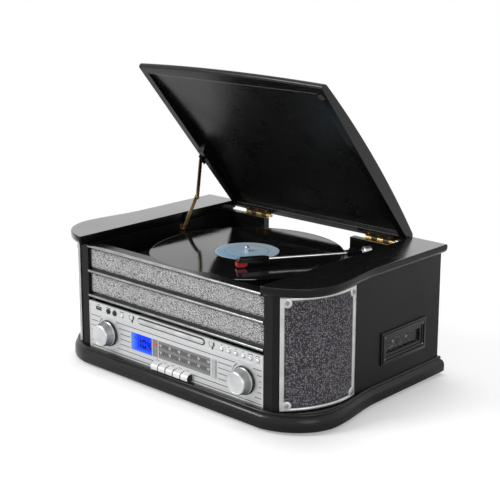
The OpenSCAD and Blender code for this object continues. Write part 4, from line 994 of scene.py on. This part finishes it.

# %% [markdown]
# The push buttons are small plated domes, the keys are pearl caps with soft edges on black bodies, with
# painted shade on their sides and in the gaps between them, and the drawer's front is a flat pill in a
# ring of painted shade. Each is drawn again here with the rounding that the CAD solid lacks.

# %% Buttons, keys and drawer front
BUTTON_X = {"power": -105.96, "play": 103.94, "stop": 117.67, "back": 131.39, "skip": 145.30,
            "memory": 159.03,
            "eject": 172.57}
for name, x in BUTTON_X.items():
    dome = Shape().turned([(0, -10), (2.9, -10), (2.9, 1.4), (2.75, 2.0), (2.3, 2.5), (1.6, 2.85),
                           (0.8, 3.0), (0, 3.0)],
                          (x, 0, BAND_Z), "-Y", 36)
    dome.turned([(0, -5), (4.1, -5), (4.1, -3.4), (0, -3.4)], (x, 0, BAND_Z), "-Y", 24)
    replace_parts(finish_piece(name + "_dome", dome, name + "_button", [bright_metal],
                             smooth=30),
                name + "_button")
rims = Shape()
for x in BUTTON_X.values():
    rims.turned([(3.3, -0.1), (4.3, -0.1), (4.3, 0.2), (4.0, 0.45), (3.6, 0.45), (3.3, 0.2), (3.3, -0.1)],
                (x, 0, BAND_Z), "-Y", 36)
finish_piece("button_rims", rims, "cabinet", [satin_metal], smooth=40)

for i in range(1, 6):
    x = KEY_X + (i - 3) * KEY_PITCH - KEY_WIDE / 2
    key = Shape().drawn([(-9, KEY_Z + 0.9), (-8.4, KEY_Z), (17.8, KEY_Z), (17.8, KEY_Z + 10),
                         (-3.4, KEY_Z + 10),
                         (-6.4, KEY_Z + 8.8), (-8.5, KEY_Z + 6.9), (-9, KEY_Z + 5.6)], x, x + KEY_WIDE)
    # The key's two end faces and a strip across its top take the painted-shade black: the ends partly as the
    # key's black body, partly as painted shade between the keys.
    key.finish[8:10] = [1, 1]
    key.box((x + 1, 3.6, KEY_Z + 9.9), (x + KEY_WIDE - 1, 6.2, KEY_Z + 11.4), 1)
    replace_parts(finish_piece(f"pearl_key_{i}", key, f"function_key_{i}", [pearl_key, painted_shade_black],
                             bevel=0.5),
                f"function_key_{i}")
# Painted shade: near-black boxes in the gaps between the keys and a strip below them.
key_gap_shade = Shape()
for i in range(6):
    x = KEY_X + (i - 2.5) * KEY_PITCH
    key_gap_shade.box((x - 0.62, -5.5, KEY_Z + 0.2), (x + 0.62, 3.0, KEY_Z + 8.6))
key_gap_shade.box((KEY_X - 2.5 * KEY_PITCH - 0.6, -0.1, KEY_Z - 0.5),
              (KEY_X + 2.5 * KEY_PITCH + 0.6, 2.6, KEY_Z - 0.1))
finish_piece("key_dividers", key_gap_shade, "cabinet", [painted_shade_black])

DRAWER_HALF, DRAWER_Z, TRAY_FRONT, TRAY_BACK = 69.0, 97.0, 3.2, 152.0
DISC_Y, DISC_R, SLOT_HALF, SLOT_END = 78.0, 60.5, 18, 132.0


def pill(half, radius, y, steps=12):
    ends = []
    for side in (1, -1):
        ends += [(side * (half - radius + radius * math.cos(a)), y, DRAWER_Z + side * radius * math.sin(a))
                 for a in (math.pi * (i / steps - 0.5) for i in range(steps + 1))]
    return ends


front = Shape().stack([pill(DRAWER_HALF, 3.5, 3.4), pill(DRAWER_HALF, 3.5, -1.3),
                       pill(DRAWER_HALF - 0.3, 3.2, -1.8),
                       pill(DRAWER_HALF - 0.8, 2.7, -2.0)])
front.stack([pill(DRAWER_HALF - 1.9, 1.5, -1.7), pill(DRAWER_HALF - 1.9, 1.5, -2.15),
             pill(DRAWER_HALF - 2.2, 1.2, -2.25)])
pill_front = finish_piece("drawer_front", front, "cd_drawer", [satin_metal], smooth=35)
# Painted shade: a thin near-black ring round the drawer front, in its gap.
ring = Shape().stack([pill(DRAWER_HALF + 0.45, 3.95, 0.2), pill(DRAWER_HALF + 0.45, 3.95, -0.1),
                      pill(DRAWER_HALF + 1.9, 5.4, -0.1), pill(DRAWER_HALF + 1.9, 5.4, 0.2)], capped=False)
finish_piece("drawer_gap", ring, "cabinet", [painted_shade_black], smooth=35)


def tray_shape():
    half, top, low = DRAWER_HALF - 2.6, DRAWER_Z + 2.5, DRAWER_Z - 3
    diagonal = 12.7
    circle = [(DISC_R * math.cos(a), DISC_Y + DISC_R * math.sin(a)) for a in around(64)]
    edge = ((-half, TRAY_FRONT), (half, TRAY_FRONT), (half, TRAY_BACK), (-half, TRAY_BACK))
    slot = [(SLOT_HALF, SLOT_END), (SLOT_HALF, DISC_Y), (diagonal, DISC_Y - diagonal),
            (0, DISC_Y - SLOT_HALF),
            (-diagonal, DISC_Y - diagonal), (-SLOT_HALF, DISC_Y), (-SLOT_HALF, SLOT_END)]

    def level(outline, *heights):
        return [(x, y, z) for z in heights for x, y in outline]

    shape = Shape().filled(level(edge, top), level(reversed(circle), top))
    shape.add(level(circle, DRAWER_Z, top), band(len(circle)))
    shape.filled(level(circle, DRAWER_Z), level(slot, DRAWER_Z))
    shape.add(level(slot, low, DRAWER_Z), band(len(slot))).add(level(edge, low, top), band(4))
    return shape.filled(level(edge, low), level(slot, low))


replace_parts(pill_front, "cd_drawer")
tray = finish_piece("drawer_tray", tray_shape(), "cd_drawer", [grey_plastic], smooth=30)
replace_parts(tray, "cd_drawer")
print("buttons, keys and drawer done")

# %% [markdown]
# The display is lit from behind: blue in the middle, greyer to its edges. Its digits have seven bars, so
# one function draws any digit. The dial beside it has two rows of ticks and numbers on a smoked strip,
# with a light line at its left end and a plated bar at its right end.

# %% Display and dial
lcd_blue, tree, shader = new_material(
    "lcd_blue", Roughness=0.25, Emission_Strength=0.5, Specular_IOR_Level=0.12)
_, x_mm, z_mm = place_in_mm(tree, "X", "Z")
side = ramp(tree, away_from(tree, x_mm, LCD[0] + 4), 13.0, 25.0)
foot = ramp(tree, minus(tree, z_mm, LCD[1]), -13.5, -8.0, 0.7, 0.0)
lit = blend(tree, calc(tree, "MAXIMUM", side, foot), rgb(0.001, 0.035, 0.82), rgb(0.06, 0.17, 0.60))
feed(tree, shader, Base_Color=lit, Emission_Color=lit)

DIAL_ROW = 5.4
BARS = {"0": "abcdef", "1": "bc", "2": "abged", "3": "abgcd", "4": "fgbc", "5": "afgcd", "6": "afgedc",
        "7": "abc",
        "8": "abcdefg", "9": "abcdfg"}


def digit(shape, figure, x, z, wide, high, thick, y0, y1):
    h, w, t = high / 2, wide, thick
    spots = {"a": (0, high - t, w, high), "g": (0, h - t / 2, w, h + t / 2), "d": (0, 0, w, t),
             "f": (0, h, t, high), "b": (w - t, h, w, high), "e": (0, 0, t, h), "c": (w - t, 0, w, h)}
    for bar in BARS[figure]:
        x0, z0, x1, z1 = spots[bar]
        inset_x, inset_z = (t * 0.6, 0) if x1 - x0 > t * 1.5 else (0, t * 0.55)
        shape.box((x + x0 + inset_x, y0, z + z0 + inset_z), (x + x1 - inset_x, y1, z + z1 - inset_z))


glass = Shape().box((LCD_LEFT + 0.2, 0.9, LCD_LOW + 0.2), (LCD_RIGHT - 0.2, 4, LCD_HIGH - 0.2))
glass.box((LCD_LEFT - 3, 3.1, LCD_LOW - 3), (LCD_RIGHT, 9, LCD_HIGH + 3))
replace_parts(finish_piece("lcd_glass", glass, "cabinet", [lcd_blue]), "lcd_display")
digits = Shape()
for i, figure in enumerate("104"):
    digit(digits, figure, LCD[0] - 10 + 10.6 * i, LCD[1] - 7, 8.2, 14, 2.4, 0.72, 0.95)
digits.box((LCD[0] - 17, 0.78, LCD[1] + 6), (LCD[0] - 12, 0.95, LCD[1] + 7))
finish_piece("lcd_digits", digits, "cabinet", [lcd_ink])

smoked, tree, shader = new_material("smoked_strip", Roughness=0.22)
_, x_mm, z_mm = place_in_mm(tree, "X", "Z")
rows = calc(tree, "LESS_THAN", away_from(tree, away_from(tree, z_mm, DIAL[1]), DIAL_ROW), 3.9)
rows = times(tree, rows, calc(tree, "GREATER_THAN", x_mm, DIAL_LEFT + 13))
feed(tree, shader, Base_Color=blend(tree, rows, rgb(0.22, 0.22, 0.225), rgb(0.10, 0.10, 0.104)))
window = Shape().box((DIAL_LEFT + 0.2, 0.8, DIAL_LOW + 0.2),
                     (DIAL_RIGHT - 0.2, 3.2, DIAL_HIGH - 0.2))
window.box((DIAL_LEFT + 0.2, 3.0, DIAL_LOW - 2), (DIAL_RIGHT + 2, 4.2, DIAL_HIGH + 2))
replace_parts(finish_piece("dial_strip", window, "cabinet", [smoked]), "dial_window")
marks = Shape()
left, right = DIAL_LEFT + 17, DIAL_RIGHT - 5
for row, figures in ((DIAL_ROW, ("88", "92", "96", "100", "104", "108")),
                     (-DIAL_ROW, ("53", "60", "70", "90", "120", "160"))):
    for i in range(26):
        x = left + (right - left) * i / 25
        tall = 2.2 if i % 5 == 0 else 1.2
        marks.box((x - 0.18, 0.66, DIAL[1] + row - 3.4), (x + 0.18, 0.85, DIAL[1] + row - 3.4 + tall))
    for i, figure in enumerate(figures):
        x = left + (right - left) * i / 5 - 1.15 * len(figure)
        for k, sign in enumerate(figure):
            digit(marks, sign, x + 2.3 * k, DIAL[1] + row - 0.6, 1.8, 3.4, 0.55, 0.66, 0.85)
marks.box((DIAL_LEFT + 11.2, 0.6, DIAL_LOW + 0.5), (DIAL_LEFT + 12.1, 0.9, DIAL_HIGH - 0.5))
finish_piece("dial_marks", marks, "cabinet", [printed_white])
lamp = Shape().turned([(0, -1.0), (1.0, -1.0), (1.0, 0.2), (0.7, 0.6), (0, 0.75)], (0, 0, 0), "-Y", 20)
lamp.move(Matrix.Translation((DIAL_LEFT + 5.6, -0.2, DIAL[1] + 5.8)) @ Matrix.Diagonal((2.9, 1, 1.7, 1)))
finish_piece("tuned_lamp", lamp, "cabinet", [red_lamp], smooth=40)
bar = Shape().box((DIAL_RIGHT + 3.8, -1.45, DIAL_LOW - 0.2),
                  (DIAL_RIGHT + 11.7, 0.1, DIAL_HIGH + 0.2))
bar.box((DIAL_RIGHT + 9.6, -1.6, DIAL_LOW - 0.1), (DIAL_RIGHT + 11.4, -1.3, DIAL_HIGH + 0.1))
finish_piece("plated_bar", bar, "cabinet", [bar_metal], bevel=0.5)

# %% [markdown]
# Small printed marks stand over the sockets and buttons, as on any such panel. They are plain bars, and
# say nothing. The sockets and the USB slot get a near-black throat of painted shade so that they read as
# holes.

# %% Marks and sockets
JACK_X = (-137.71, -123.16)
SIGN_WIDTHS = dict(zip(BUTTON_X.values(), (10.0, 3.0, 2.2, 3.0, 3.0, 9.0, 7.0)))
signs = Shape()
for x, wide in ((-160.6, 6.0), (-137.7, 9.0), (-123.2, 4.0), *SIGN_WIDTHS.items()):
    signs.box((x - wide / 2, -0.08, BAND_Z + 4.9), (x + wide / 2, 0.05, BAND_Z + 6.0))
for i in range(5):
    x = KEY_X + (i - 2) * KEY_PITCH
    signs.box((x - 3.4, -0.08, KEY_Z + 12.6), (x + 3.4, 0.05, KEY_Z + 13.3))
for x in (-160.0, -150.0, -126.0, -117.0):
    signs.box((x - 1.6, -0.08, 37.4), (x + 1.6, 0.05, 38.1))
for side in (-1, 1):
    x, z = side * 84.5, BAND_Z + 2.8
    for a0, a1 in ((150, 262), (278, 390)):
        section = ((3.9, -1.3), (4.9, -1.3), (4.9, 0.05), (3.9, 0.05))
        turns = [math.radians(a0 + (a1 - a0) * i / 8) for i in range(9)]
        signs.stack([[(x + r * math.cos(a), y, z + r * math.sin(a)) for r, y in section] for a in turns])
    signs.box((x + 1.4, -1.1, BAND_Z - 5.5), (x + 2.2, 0.05, z - 4.2))
finish_piece("panel_marks", signs, "cabinet", [printed_grey])
# Painted shade: near-black discs inside the jack sockets and a near-black box inside the USB slot.
hole_shade = Shape().box((-166.0, -0.02, BAND_Z - 2.1), (-155.2, 0.3, BAND_Z + 2.1))
for x in JACK_X:
    hole_shade.turned([(0, 1.0), (2.3, 1.0), (2.3, 1.32), (0, 1.32)], (x, 0, BAND_Z), "-Y", 28)
finish_piece("socket_throats", hole_shade, "cabinet", [painted_shade_black])
tongue = Shape().box((-165.4, -0.1, BAND_Z + 0.1), (-155.8, 0.2, BAND_Z + 1.3))
finish_piece("usb_tongue", tongue, "cabinet", [dull_steel])
print("display, dial and marks done")

# %% [markdown]
# A record is pressed vinyl: bands of fine grooves with smooth gaps between them, a wide smooth ring
# near the middle, and a paper label. The bands change roughness and normal with the distance from the
# spindle, and the smooth rings get a painted sheen: a slightly lighter colour. The label is the same
# disc's middle, in pale blue that is deeper at its front, with printed rings, so it is another mask of
# that distance.

# %% Record
SPINDLE = (-3.0, 167.25, 0)
GROOVE_PITCH = 0.9


def from_spindle(tree):
    place, x_mm, y_mm = place_in_mm(tree, "X", "Y")
    dx = minus(tree, x_mm, SPINDLE[0])
    dy = minus(tree, y_mm, SPINDLE[1] + FASCIA_Y * 1000)
    return place, dx, dy, length_of(tree, dx, dy)


vinyl, tree, shader = new_material("pressed_vinyl", IOR=1.5, Specular_IOR_Level=0.5)
reach = from_spindle(tree)[-1]
groove = calc(tree, "SINE", times(tree, reach, 2 * math.pi / GROOVE_PITCH))
uneven = put(tree, "TexNoise", {"W": times(tree, reach, 0.42), "Scale": 1.0, "Detail": 3.0},
             noise_dimensions="1D").outputs[0]
gaps = 0.0
for radius in (64.0, 79.0, 97.0, 112.0, 129.0, 146.5):
    here = ramp(tree, away_from(tree, reach, radius), 0.5, 1.1, 1.0, 0.0)
    gaps = here if gaps == 0.0 else calc(tree, "MAXIMUM", gaps, here)
smooth_ring = calc(tree, "MAXIMUM", gaps, calc(tree, "LESS_THAN", reach, 61.0))
grooved = minus(tree, 1.0, smooth_ring)
# Random tone along the radius, plus a painted sheen: the smooth rings are a little lighter.
tone = calc(tree, "ADD", ramp(tree, uneven, 0.3, 0.7, 0.0035, 0.009), times(tree, smooth_ring, 0.004))
tone_and_sheen = put(tree, "CombineColor", {0: tone, 1: tone, 2: tone}).outputs[0]
rough = calc(tree, "ADD", times(tree, grooved, ramp(tree, uneven, 0.3, 0.7, 0.02, 0.06)), 0.035)
feed(tree, shader, Base_Color=tone_and_sheen, Roughness=rough)
bump(tree, shader, times(tree, groove, grooved), 0.02, 0.0001)

label_paper, tree, shader = new_material("label_paper", Roughness=0.4, Specular_IOR_Level=0.4)
place, dx, dy, reach = from_spindle(tree)
# The label's blue is deeper at its front and paler at its back.
ink = blend(tree, ramp(tree, dy, -46.0, 46.0), rgb(0.30, 0.58, 0.84), rgb(0.66, 0.80, 0.90))
for radius, half, colour in ((47.6, 0.7, rgb(0.72, 0.76, 0.78)), (34.0, 0.35, rgb(0.10, 0.20, 0.34)),
                             (16.0, 0.6, rgb(0.65, 0.70, 0.72))):
    ring = calc(tree, "LESS_THAN", away_from(tree, reach, radius), half)
    ink = blend(tree, ring, ink, colour)
for low, high, wide in ((20.0, 22.0, 18.0), (24.5, 26.0, 12.0), (-25.0, -23.6, 20.0), (-29.0, -27.6, 14.0)):
    line = times(tree, calc(tree, "GREATER_THAN", dy, low), calc(tree, "LESS_THAN", dy, high))
    line = times(tree, line, calc(tree, "LESS_THAN", calc(tree, "ABSOLUTE", dx), wide))
    ink = blend(tree, line, ink, rgb(0.75, 0.78, 0.80))
feed(tree, shader, Base_Color=ink)
bump(tree, shader, put(tree, "TexNoise", {"Vector": place, "Scale": 1400.0}).outputs[0], 0.1, 0.0002)

disc = Shape().turned([(3.64, 182.0), (150.2, 182.0), (151, 182.5), (151, 183.1), (150.2, 183.6),
                       (148.6, 183.6),
                       (148.2, 183.42), (54.0, 183.42), (51.0, 183.6), (50.3, 183.88), (50.0, 183.9)],
                      SPINDLE, steps=128)
disc.turned([(50.0, 183.9), (17.4, 183.9), (17.0, 183.7), (16.6, 183.9), (3.64, 183.9), (3.64, 182.0)],
            SPINDLE, steps=128, finish=1)
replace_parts(finish_piece("pressed_record", disc, "platter", [vinyl, label_paper], smooth=12),
            "vinyl_record")
print("record:", len(disc.faces), "faces")

# %% [markdown]
# The tonearm is a thin plated tube with a black head shell at one end and a weight at the other. The
# head is a flat box that narrows to its nose, with a finger lift at its side and a red guard below. The
# arm is drawn along one axis and then turned to where it rests on the record.

# %% Tonearm
ARM = (146.6, 244.1, 194.0)
arm_turn = Matrix.Translation(ARM) @ Matrix.Rotation(math.radians(-33), 4, "Z")


def on_arm(x, y, z):
    return at(*(arm_turn @ Vector((x, y, z))))


tube = Shape().tube([(0, 24 - 3.4 * i, 0) for i in range(12)] + [(0, -18 - 6 * i, 0) for i in range(21)],
                    2.35, steps=20)
finish_piece("arm_tube", tube, "tonearm", [bright_metal], smooth=40, place=on_arm)
shell = Shape()
sections = [(-134, 3.4, 3.6, -3.4), (-138, 5.6, 3.9, -3.6), (-143, 6.8, 4.2, -3.8), (-176, 6.8, 3.9, -2.4),
            (-180.6, 6.2, 3.2, -1.6), (-182, 5.0, 2.2, -1.0)]
shell.stack([[(-w, y, low), (w, y, low), (w, y, high - 1.2), (w - 1.2, y, high), (-w + 1.2, y, high),
              (-w, y, high - 1.2)]
             for y, w, high, low in sections])
shell.tube([(6.4, -178.5, 0.6), (9.5, -178.6, 0.9), (11.6, -178.9, 2.2), (12.6, -179.4, 4.4)],
           [1.5, 1.3, 1.2, 1.4], steps=10)
head = finish_piece("head_shell", shell, "tonearm", [gloss_black], smooth=40, place=on_arm)
weight = Shape().turned([(0, 0), (7.6, 0), (8.5, 0.9), (8.5, 11.3), (7.6, 12.2), (3.2, 12.2), (3.2, 13.4),
                         (0, 13.4)],
                        (0, 13.8, 0), "Y", 48)
weight.turned([(0, -3.6), (4.0, -3.6), (4.6, -3.0), (4.6, 0.4), (0, 0.4)], (0, 13.8, 0), "Y", 36)
finish_piece("balance_weight", weight, "tonearm", [satin_metal], smooth=35, place=on_arm)
yoke = Shape().stack([[(-5.6, y, -4.6 + c), (5.6, y, -4.6 + c), (5.6, y, 4.1 - c), (-5.6, y, 4.1 - c)]
                      for y, c in ((-12.6, 0.9), (-11.6, 0), (9.6, 0), (10.6, 0.9))])
block = finish_piece("arm_block", yoke, "tonearm", [gloss_black], bevel=0.5, place=on_arm)
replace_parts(block, "tonearm")
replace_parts(head, "tonearm")
guard = Shape().stack([[(-6.3, y, low), (6.3, y, low), (6.3, y, -2.9), (-6.3, y, -2.9)]
                       for y, low in ((-167.4, -5.4), (-169, -7.8), (-172, -9.2), (-180, -9.7),
                                      (-183.4, -8.6))])
guard.stack([[(-1.2, y, low), (1.2, y, low), (1.2, y, -8.8), (-1.2, y, -8.8)] for y,
             low in ((-178.6, -10.0), (-176.4, -10.0))])
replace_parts(finish_piece("stylus_guard", guard, "tonearm", [red_plastic], bevel=0.6, place=on_arm),
            "stylus_cartridge")
print("tonearm: tube, shell, block, weight and guard")

# %% [markdown]
# The stay is two flat straps with a round eye at each joint and a domed rivet through it. A strap's
# outline is two round eyes joined by straight edges, pulled to the strap's thickness. It is old brass,
# so its tone changes more than that of the plated parts.

# %% Stay straps
ANCHOR, ELBOW, TOP_PIVOT, STAY_PIN = (203.0, 181.0), (233.49, 230.92), (242.6, 298.3), 2.0


def flat_strap(start, end, wide, x0, x1, eye):
    along = Vector((end[0] - start[0], end[1] - start[1]))
    length = along.length
    along.normalize()
    across = Vector((-along.y, along.x))
    bend = [math.radians(125 * i / 12) for i in range(13)]
    half = [(-eye * math.cos(a), eye * math.sin(a)) for a in bend]
    half += [(eye + 2.5, wide / 2), (length - eye - 2.5, wide / 2)]
    half += [(length + eye * math.cos(a), eye * math.sin(a)) for a in reversed(bend)]
    flat = half + [(a, -b) for a, b in reversed(half[1:-1])]
    outline = [(start[0] + along.x * a + across.x * b, start[1] + along.y * a + across.y * b) for a,
               b in flat]
    return Shape().drawn(outline, x0, x1)


def rivet(shape, place, x, facing, radius=2.8):
    return shape.turned([(0, -0.3), (radius, -0.3), (radius, 0.2), (radius * 0.8, 0.75),
                         (radius * 0.45, 1.05), (0, 1.15)],
                        (x, place[0], place[1]), facing, 24)


lower = rivet(flat_strap(ANCHOR, ELBOW, 7.2, STAY_X, STAY_X + 1.5, 4.0), ELBOW, STAY_X, "-X")
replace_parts(finish_piece("stay_strap_lower", lower, "stay_lower", [old_brass], bevel=0.3),
            "stay_lower_arm")
upper = rivet(flat_strap(TOP_PIVOT, ELBOW, 7.2, STAY_X + 2.7, STAY_X + 4.2, 4.0), ELBOW, STAY_X + 4.2, "X")
upper.turned([(0, 0), (1.9, 0), (1.9, 1.3), (0, 1.3)], (STAY_X + 1.5, *ELBOW), "X", 20)
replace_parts(finish_piece("stay_strap_upper", upper, "stay_upper", [old_brass], bevel=0.3),
            "stay_upper_arm")
plate = Shape().drawn([(197, 168), (209, 168), (209, 187), (206, 190), (200, 190), (197, 187)], -183.0,
                      -181.8)
plate.turned([(0, 0), (4, 0), (4, 1.0), (0, 1.0)], (-181.9, *ANCHOR), "X", 28)
plate.turned([(0, 0), (STAY_PIN, 0), (STAY_PIN, 2.4), (0, 2.4)], (-181.6, *ANCHOR), "X", 20)
rivet(plate, ANCHOR, STAY_X + 1.9, "X", 3.0)
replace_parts(finish_piece("stay_anchor_plate", plate, "cabinet", [old_brass], bevel=0.3),
            "stay_anchor")

# %% Screws in the stay and the hinges
HINGE = (100.0, 157.0)
screws = [((-181.75, 203.0, 172.2), (1, 0, 0), 0.5)]
set_on_points("anchor_screws", screw, screws, "cabinet", old_brass, size=1.9)
facing_in = open_lid.to_3x3() @ Vector((0, 0, -1))
leaf_screws = []
for side in (1, -1):
    for x in (HINGE[0] + 9, sum(HINGE) / 2, HINGE[1] - 9):
        leaf_screws.append((open_lid @ Vector((side * x, 325.5, LID_UNDER - 0.4)), facing_in, x * 0.3))
set_on_points("hinge_screws", screw, leaf_screws, "lid", gold_brass, size=1.9)
knuckle_caps = Shape()
for side in (1, -1):
    for x, way in ((HINGE[0] + 0.2, "-X"), (HINGE[1] - 0.2, "X")):
        if side < 0:
            way = {"X": "-X", "-X": "X"}[way]
        knuckle_caps.turned([(0, -0.2), (1.3, -0.2), (1.3, 0.2), (0.8, 0.6), (0, 0.7)],
                            (side * x, HINGE_Y, HINGE_Z), way, 16)
finish_piece("hinge_pin_ends", knuckle_caps, "cabinet", [gold_brass])

# %% [markdown]
# Each speaker frame is a curved bar with a rounded face, wider at the sides, and an ear at each corner
# for its screw. The bar follows the corner's arc, so its section is placed at many angles. The ears are
# flat discs, bent to the same arc.

# %% Speaker frames
FRAME_FROM, FRAME_TO, FRAME_Z = -48.52, 13.5, (31.0, 193.0)
EARS = [(z, angle) for z in (FRAME_Z[0] + 8, FRAME_Z[1] - 8) for angle in (FRAME_FROM + 4.6, FRAME_TO - 4.6)]


def on_corner(side, radius, degrees, z):
    a = math.radians(degrees)
    return (side * (CORNER_X + radius * math.cos(a)), CORNER_Y + radius * math.sin(a), z)


def frame_ring(side):
    """The bar's section, carried round the window, and a round ear at each of its corners."""
    mm = 180 / math.pi / 118.0
    loops = []
    for into, radius in ((0.0, 116.8), (0.0, 118.9), (0.5, 119.6), (1.3, 119.95), (3.4, 119.95),
                         (4.4, 119.5), (4.9, 118.6),
                         (4.9, 116.8)):
        wide = into * 6.3 / 4.9
        low, high = FRAME_Z[0] + into, FRAME_Z[1] - into
        first, last = FRAME_FROM + wide * mm, FRAME_TO - wide * mm
        loop = [on_corner(side, radius, first + (last - first) * i / 32, low) for i in range(33)]
        loop += [on_corner(side, radius, last, low + (high - low) * i / 16) for i in range(1, 16)]
        loop += [on_corner(side, radius, last + (first - last) * i / 32, high) for i in range(33)]
        loop += [on_corner(side, radius, first, high + (low - high) * i / 16) for i in range(1, 16)]
        loops.append(loop)
    shape = Shape().stack(loops + [loops[0]], capped=False)
    for z, angle in EARS:
        shape.stack([[on_corner(side, radius, angle + reach * math.cos(b) * mm, z + reach * math.sin(b))
                      for b in around(32)]
                     for reach, radius in ((6.7, 116.8), (6.7, 119.3), (6.2, 119.8), (5.5, 120.0),
                                           (0.01, 120.0))],
                    capped=False)
    return shape


frames = Shape()
ear_screws = []
for side in (1, -1):
    ring = frame_ring(side)
    frames.add(ring.points, ring.faces)
    for z, angle in EARS:
        a = math.radians(angle)
        ear_screws.append((Vector(on_corner(side, 119.95, angle, z)), (side * math.cos(a), math.sin(a), 0),
                           angle))
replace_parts(finish_piece("speaker_frames_round", frames, "cabinet", [frame_metal], smooth=40),
            "speaker_frames")
set_on_points("frame_screws", screw, ear_screws, "cabinet", dull_steel, size=3.2)
print("speaker frames:", len(frames.faces), "faces")

# %% [markdown]
# The cassette opening has two raised steps, soft at their edges, a screw in each corner, and metal parts
# that glint inside. The rear sockets have coloured rings, as phono sockets have. The rear panel is held
# by a row of screws along its edge.

# %% Cassette opening
CASSETTE = (239.0, 79.5)
bezel = Shape()
for x0, x1, outer_y, outer_z, inner_y, inner_z in (
        (243.0, 245.4, 55, 24.5, 49.2, 18.7), (245.2, 247.0, 52.5, 22, 49.0, 18.5),
        (243.0, 245.6, 49.4, 18.9, 45.5, 14.0),
        (243.0, 244.4, 45.8, 14.3, 41.0, 9.5)):
    outside = [(x, outer_y + grow, outer_z + grow)
               for x, grow in ((x0, 0), (x1 - 0.5, 0), (x1 - 0.15, -0.15), (x1, -0.5))]
    inside = [(x, inner_y + grow, inner_z + grow)
              for x, grow in ((x1, 0.5), (x1 - 0.15, 0.15), (x1 - 0.5, 0), (x0, 0))]
    rings = [[(x, CASSETTE[0] + a * half_y, CASSETTE[1] + b * half_z)
              for a, b in ((-1, -1), (1, -1), (1, 1), (-1, 1))] for x, half_y, half_z in outside + inside]
    bezel.stack(rings + [rings[0]], capped=False)
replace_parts(finish_piece("cassette_frame", bezel, "cabinet", [gloss_black], smooth=25),
            "cassette_bezel")
corners = [((245.45, CASSETTE[0] + a * 47.2, CASSETTE[1] + b * 16.4), (1, 0, 0), a + b) for a in (-1, 1)
           for b in (-1, 1)]
set_on_points("cassette_screws", screw, corners, "cabinet", dull_steel, size=1.5)
glints = Shape()
glints.drawn([(CASSETTE[0] - 30, 72.2), (CASSETTE[0] - 8, 72.2), (CASSETTE[0] - 8, 74.4),
              (CASSETTE[0] - 30, 74.4)], 228, 236)
for hub in (-14, 18):
    glints.turned([(0, 0), (3.2, 0), (3.2, 5), (2.4, 6), (0, 6)], (230, CASSETTE[0] + hub, CASSETTE[1] + 1),
                  "X", 24)
finish_piece("tape_drive", glints, "cabinet", [bright_metal], bevel=0.3)

# %% Rear sockets
SOCKET_Z = 65
rings = Shape()
shells = Shape()
for x, finish in ((-40, 0), (-20, 1), (20, 0), (40, 1)):
    rings.turned([(1.7, 0), (2.9, 0), (4.05, -0.5), (4.05, 0.0), (3.4, 0.55), (2.2, 0.55), (1.7, 0.2),
                  (1.7, 0)],
                 (x, 339.6, SOCKET_Z), "Y", 28, finish)
    shells.turned([(4.12, 0), (4.35, 0), (4.35, 5.6), (4.12, 5.6), (4.12, 0)], (x, 333.6, SOCKET_Z), "Y", 28)
finish_piece("socket_rings", rings, "cabinet", [red_plastic, white_plastic])
finish_piece("socket_shells", shells, "cabinet", [bright_metal])
BACKWARD, PLATE_FACE = (0, 1, 0), 333.5
SCREW_X = (-200, -120, -40, 40, 120, 200)
panel_screws = [((x, BACK_FACE + 0.02, z), BACKWARD, x + z) for z in (36.0, 156.0) for x in SCREW_X]
panel_screws += [((x, BACK_FACE + 0.02, 96.0), BACKWARD, x) for x in (-200, 200)]
panel_screws += [((x, PLATE_FACE + 0.02, z), BACKWARD, x + z) for x in (-56, 56) for z in (50.0, 80.0)]
panel_screws += [((x, PLATE_FACE + 0.02, SOCKET_Z), BACKWARD, x) for x in (-149.5, -110.5)]
set_on_points("rear_screws", screw, panel_screws, "cabinet", dull_steel, size=2.6)
print("frames, cassette opening and sockets done")

# %% [markdown]
# The cassette door is smoked plastic, clear enough to show the metal behind it. After it, every CAD node
# gets its finish in one table, including those that a finer piece replaces.

# %% Smoked plastic
smoked_door, tree, shader = new_material("smoked_door", Roughness=0.04, Transmission_Weight=0.97, IOR=1.3)
marks = use(tree, wear, Size=60.0)
feed(tree, shader, Base_Color=blend(tree, marks["Smudge"], rgb(0.42, 0.42, 0.43), rgb(0.5, 0.5, 0.51)))
print("smoked plastic ready")

# %% Finishes for the CAD nodes
def dress(material, *names):
    for name in names:
        mesh = cad[name].data
        mesh.materials.clear()
        mesh.materials.append(material)


dress(wood_up, "side_panels", "inner_partitions", "speaker_baffles")
dress(wood_across, "rear_panel", "front_board")
dress(black_plastic, "turntable_deck", "platter", "tonearm_base", "tonearm_gimbal", "cue_lever",
      "speed_lever",
      "cassette_bezel", "cassette_mechanism", "rear_sockets")
dress(soft_rubber, "rubber_feet", "drive_belt")
dress(fascia_finish, "control_fascia")
dress(satin_metal, "speaker_frames", "tonearm", "cd_drawer")
dress(black_plastic, "front_sockets")
dress(bright_metal, "centre_spindle", "power_button", "play_button", "stop_button", "back_button",
      "skip_button", "memory_button", "eject_button")
dress(dull_steel, "cd_mechanism", "drive_motor")
# The lid's hinge leaves get the darkened brass, as painted shade; the fixed leaves keep the gold.
dress(painted_shade_brass, "hinge_lid_leaves")
dress(gold_brass, "hinge_fixed_leaves", "motor_pulley")
dress(old_brass, "stay_lid_bracket")
dress(red_plastic, "stylus_cartridge", "dial_pointer")
dress(green_board, "circuit_boards")
dress(paper_cone, "speaker_drivers")
dress(smoked_door, "cassette_door")
dress(vinyl, "vinyl_record")
dress(pearl_key, *[f"function_key_{i}" for i in range(1, 6)])
dress(gloss_black, "lcd_display", "dial_window")
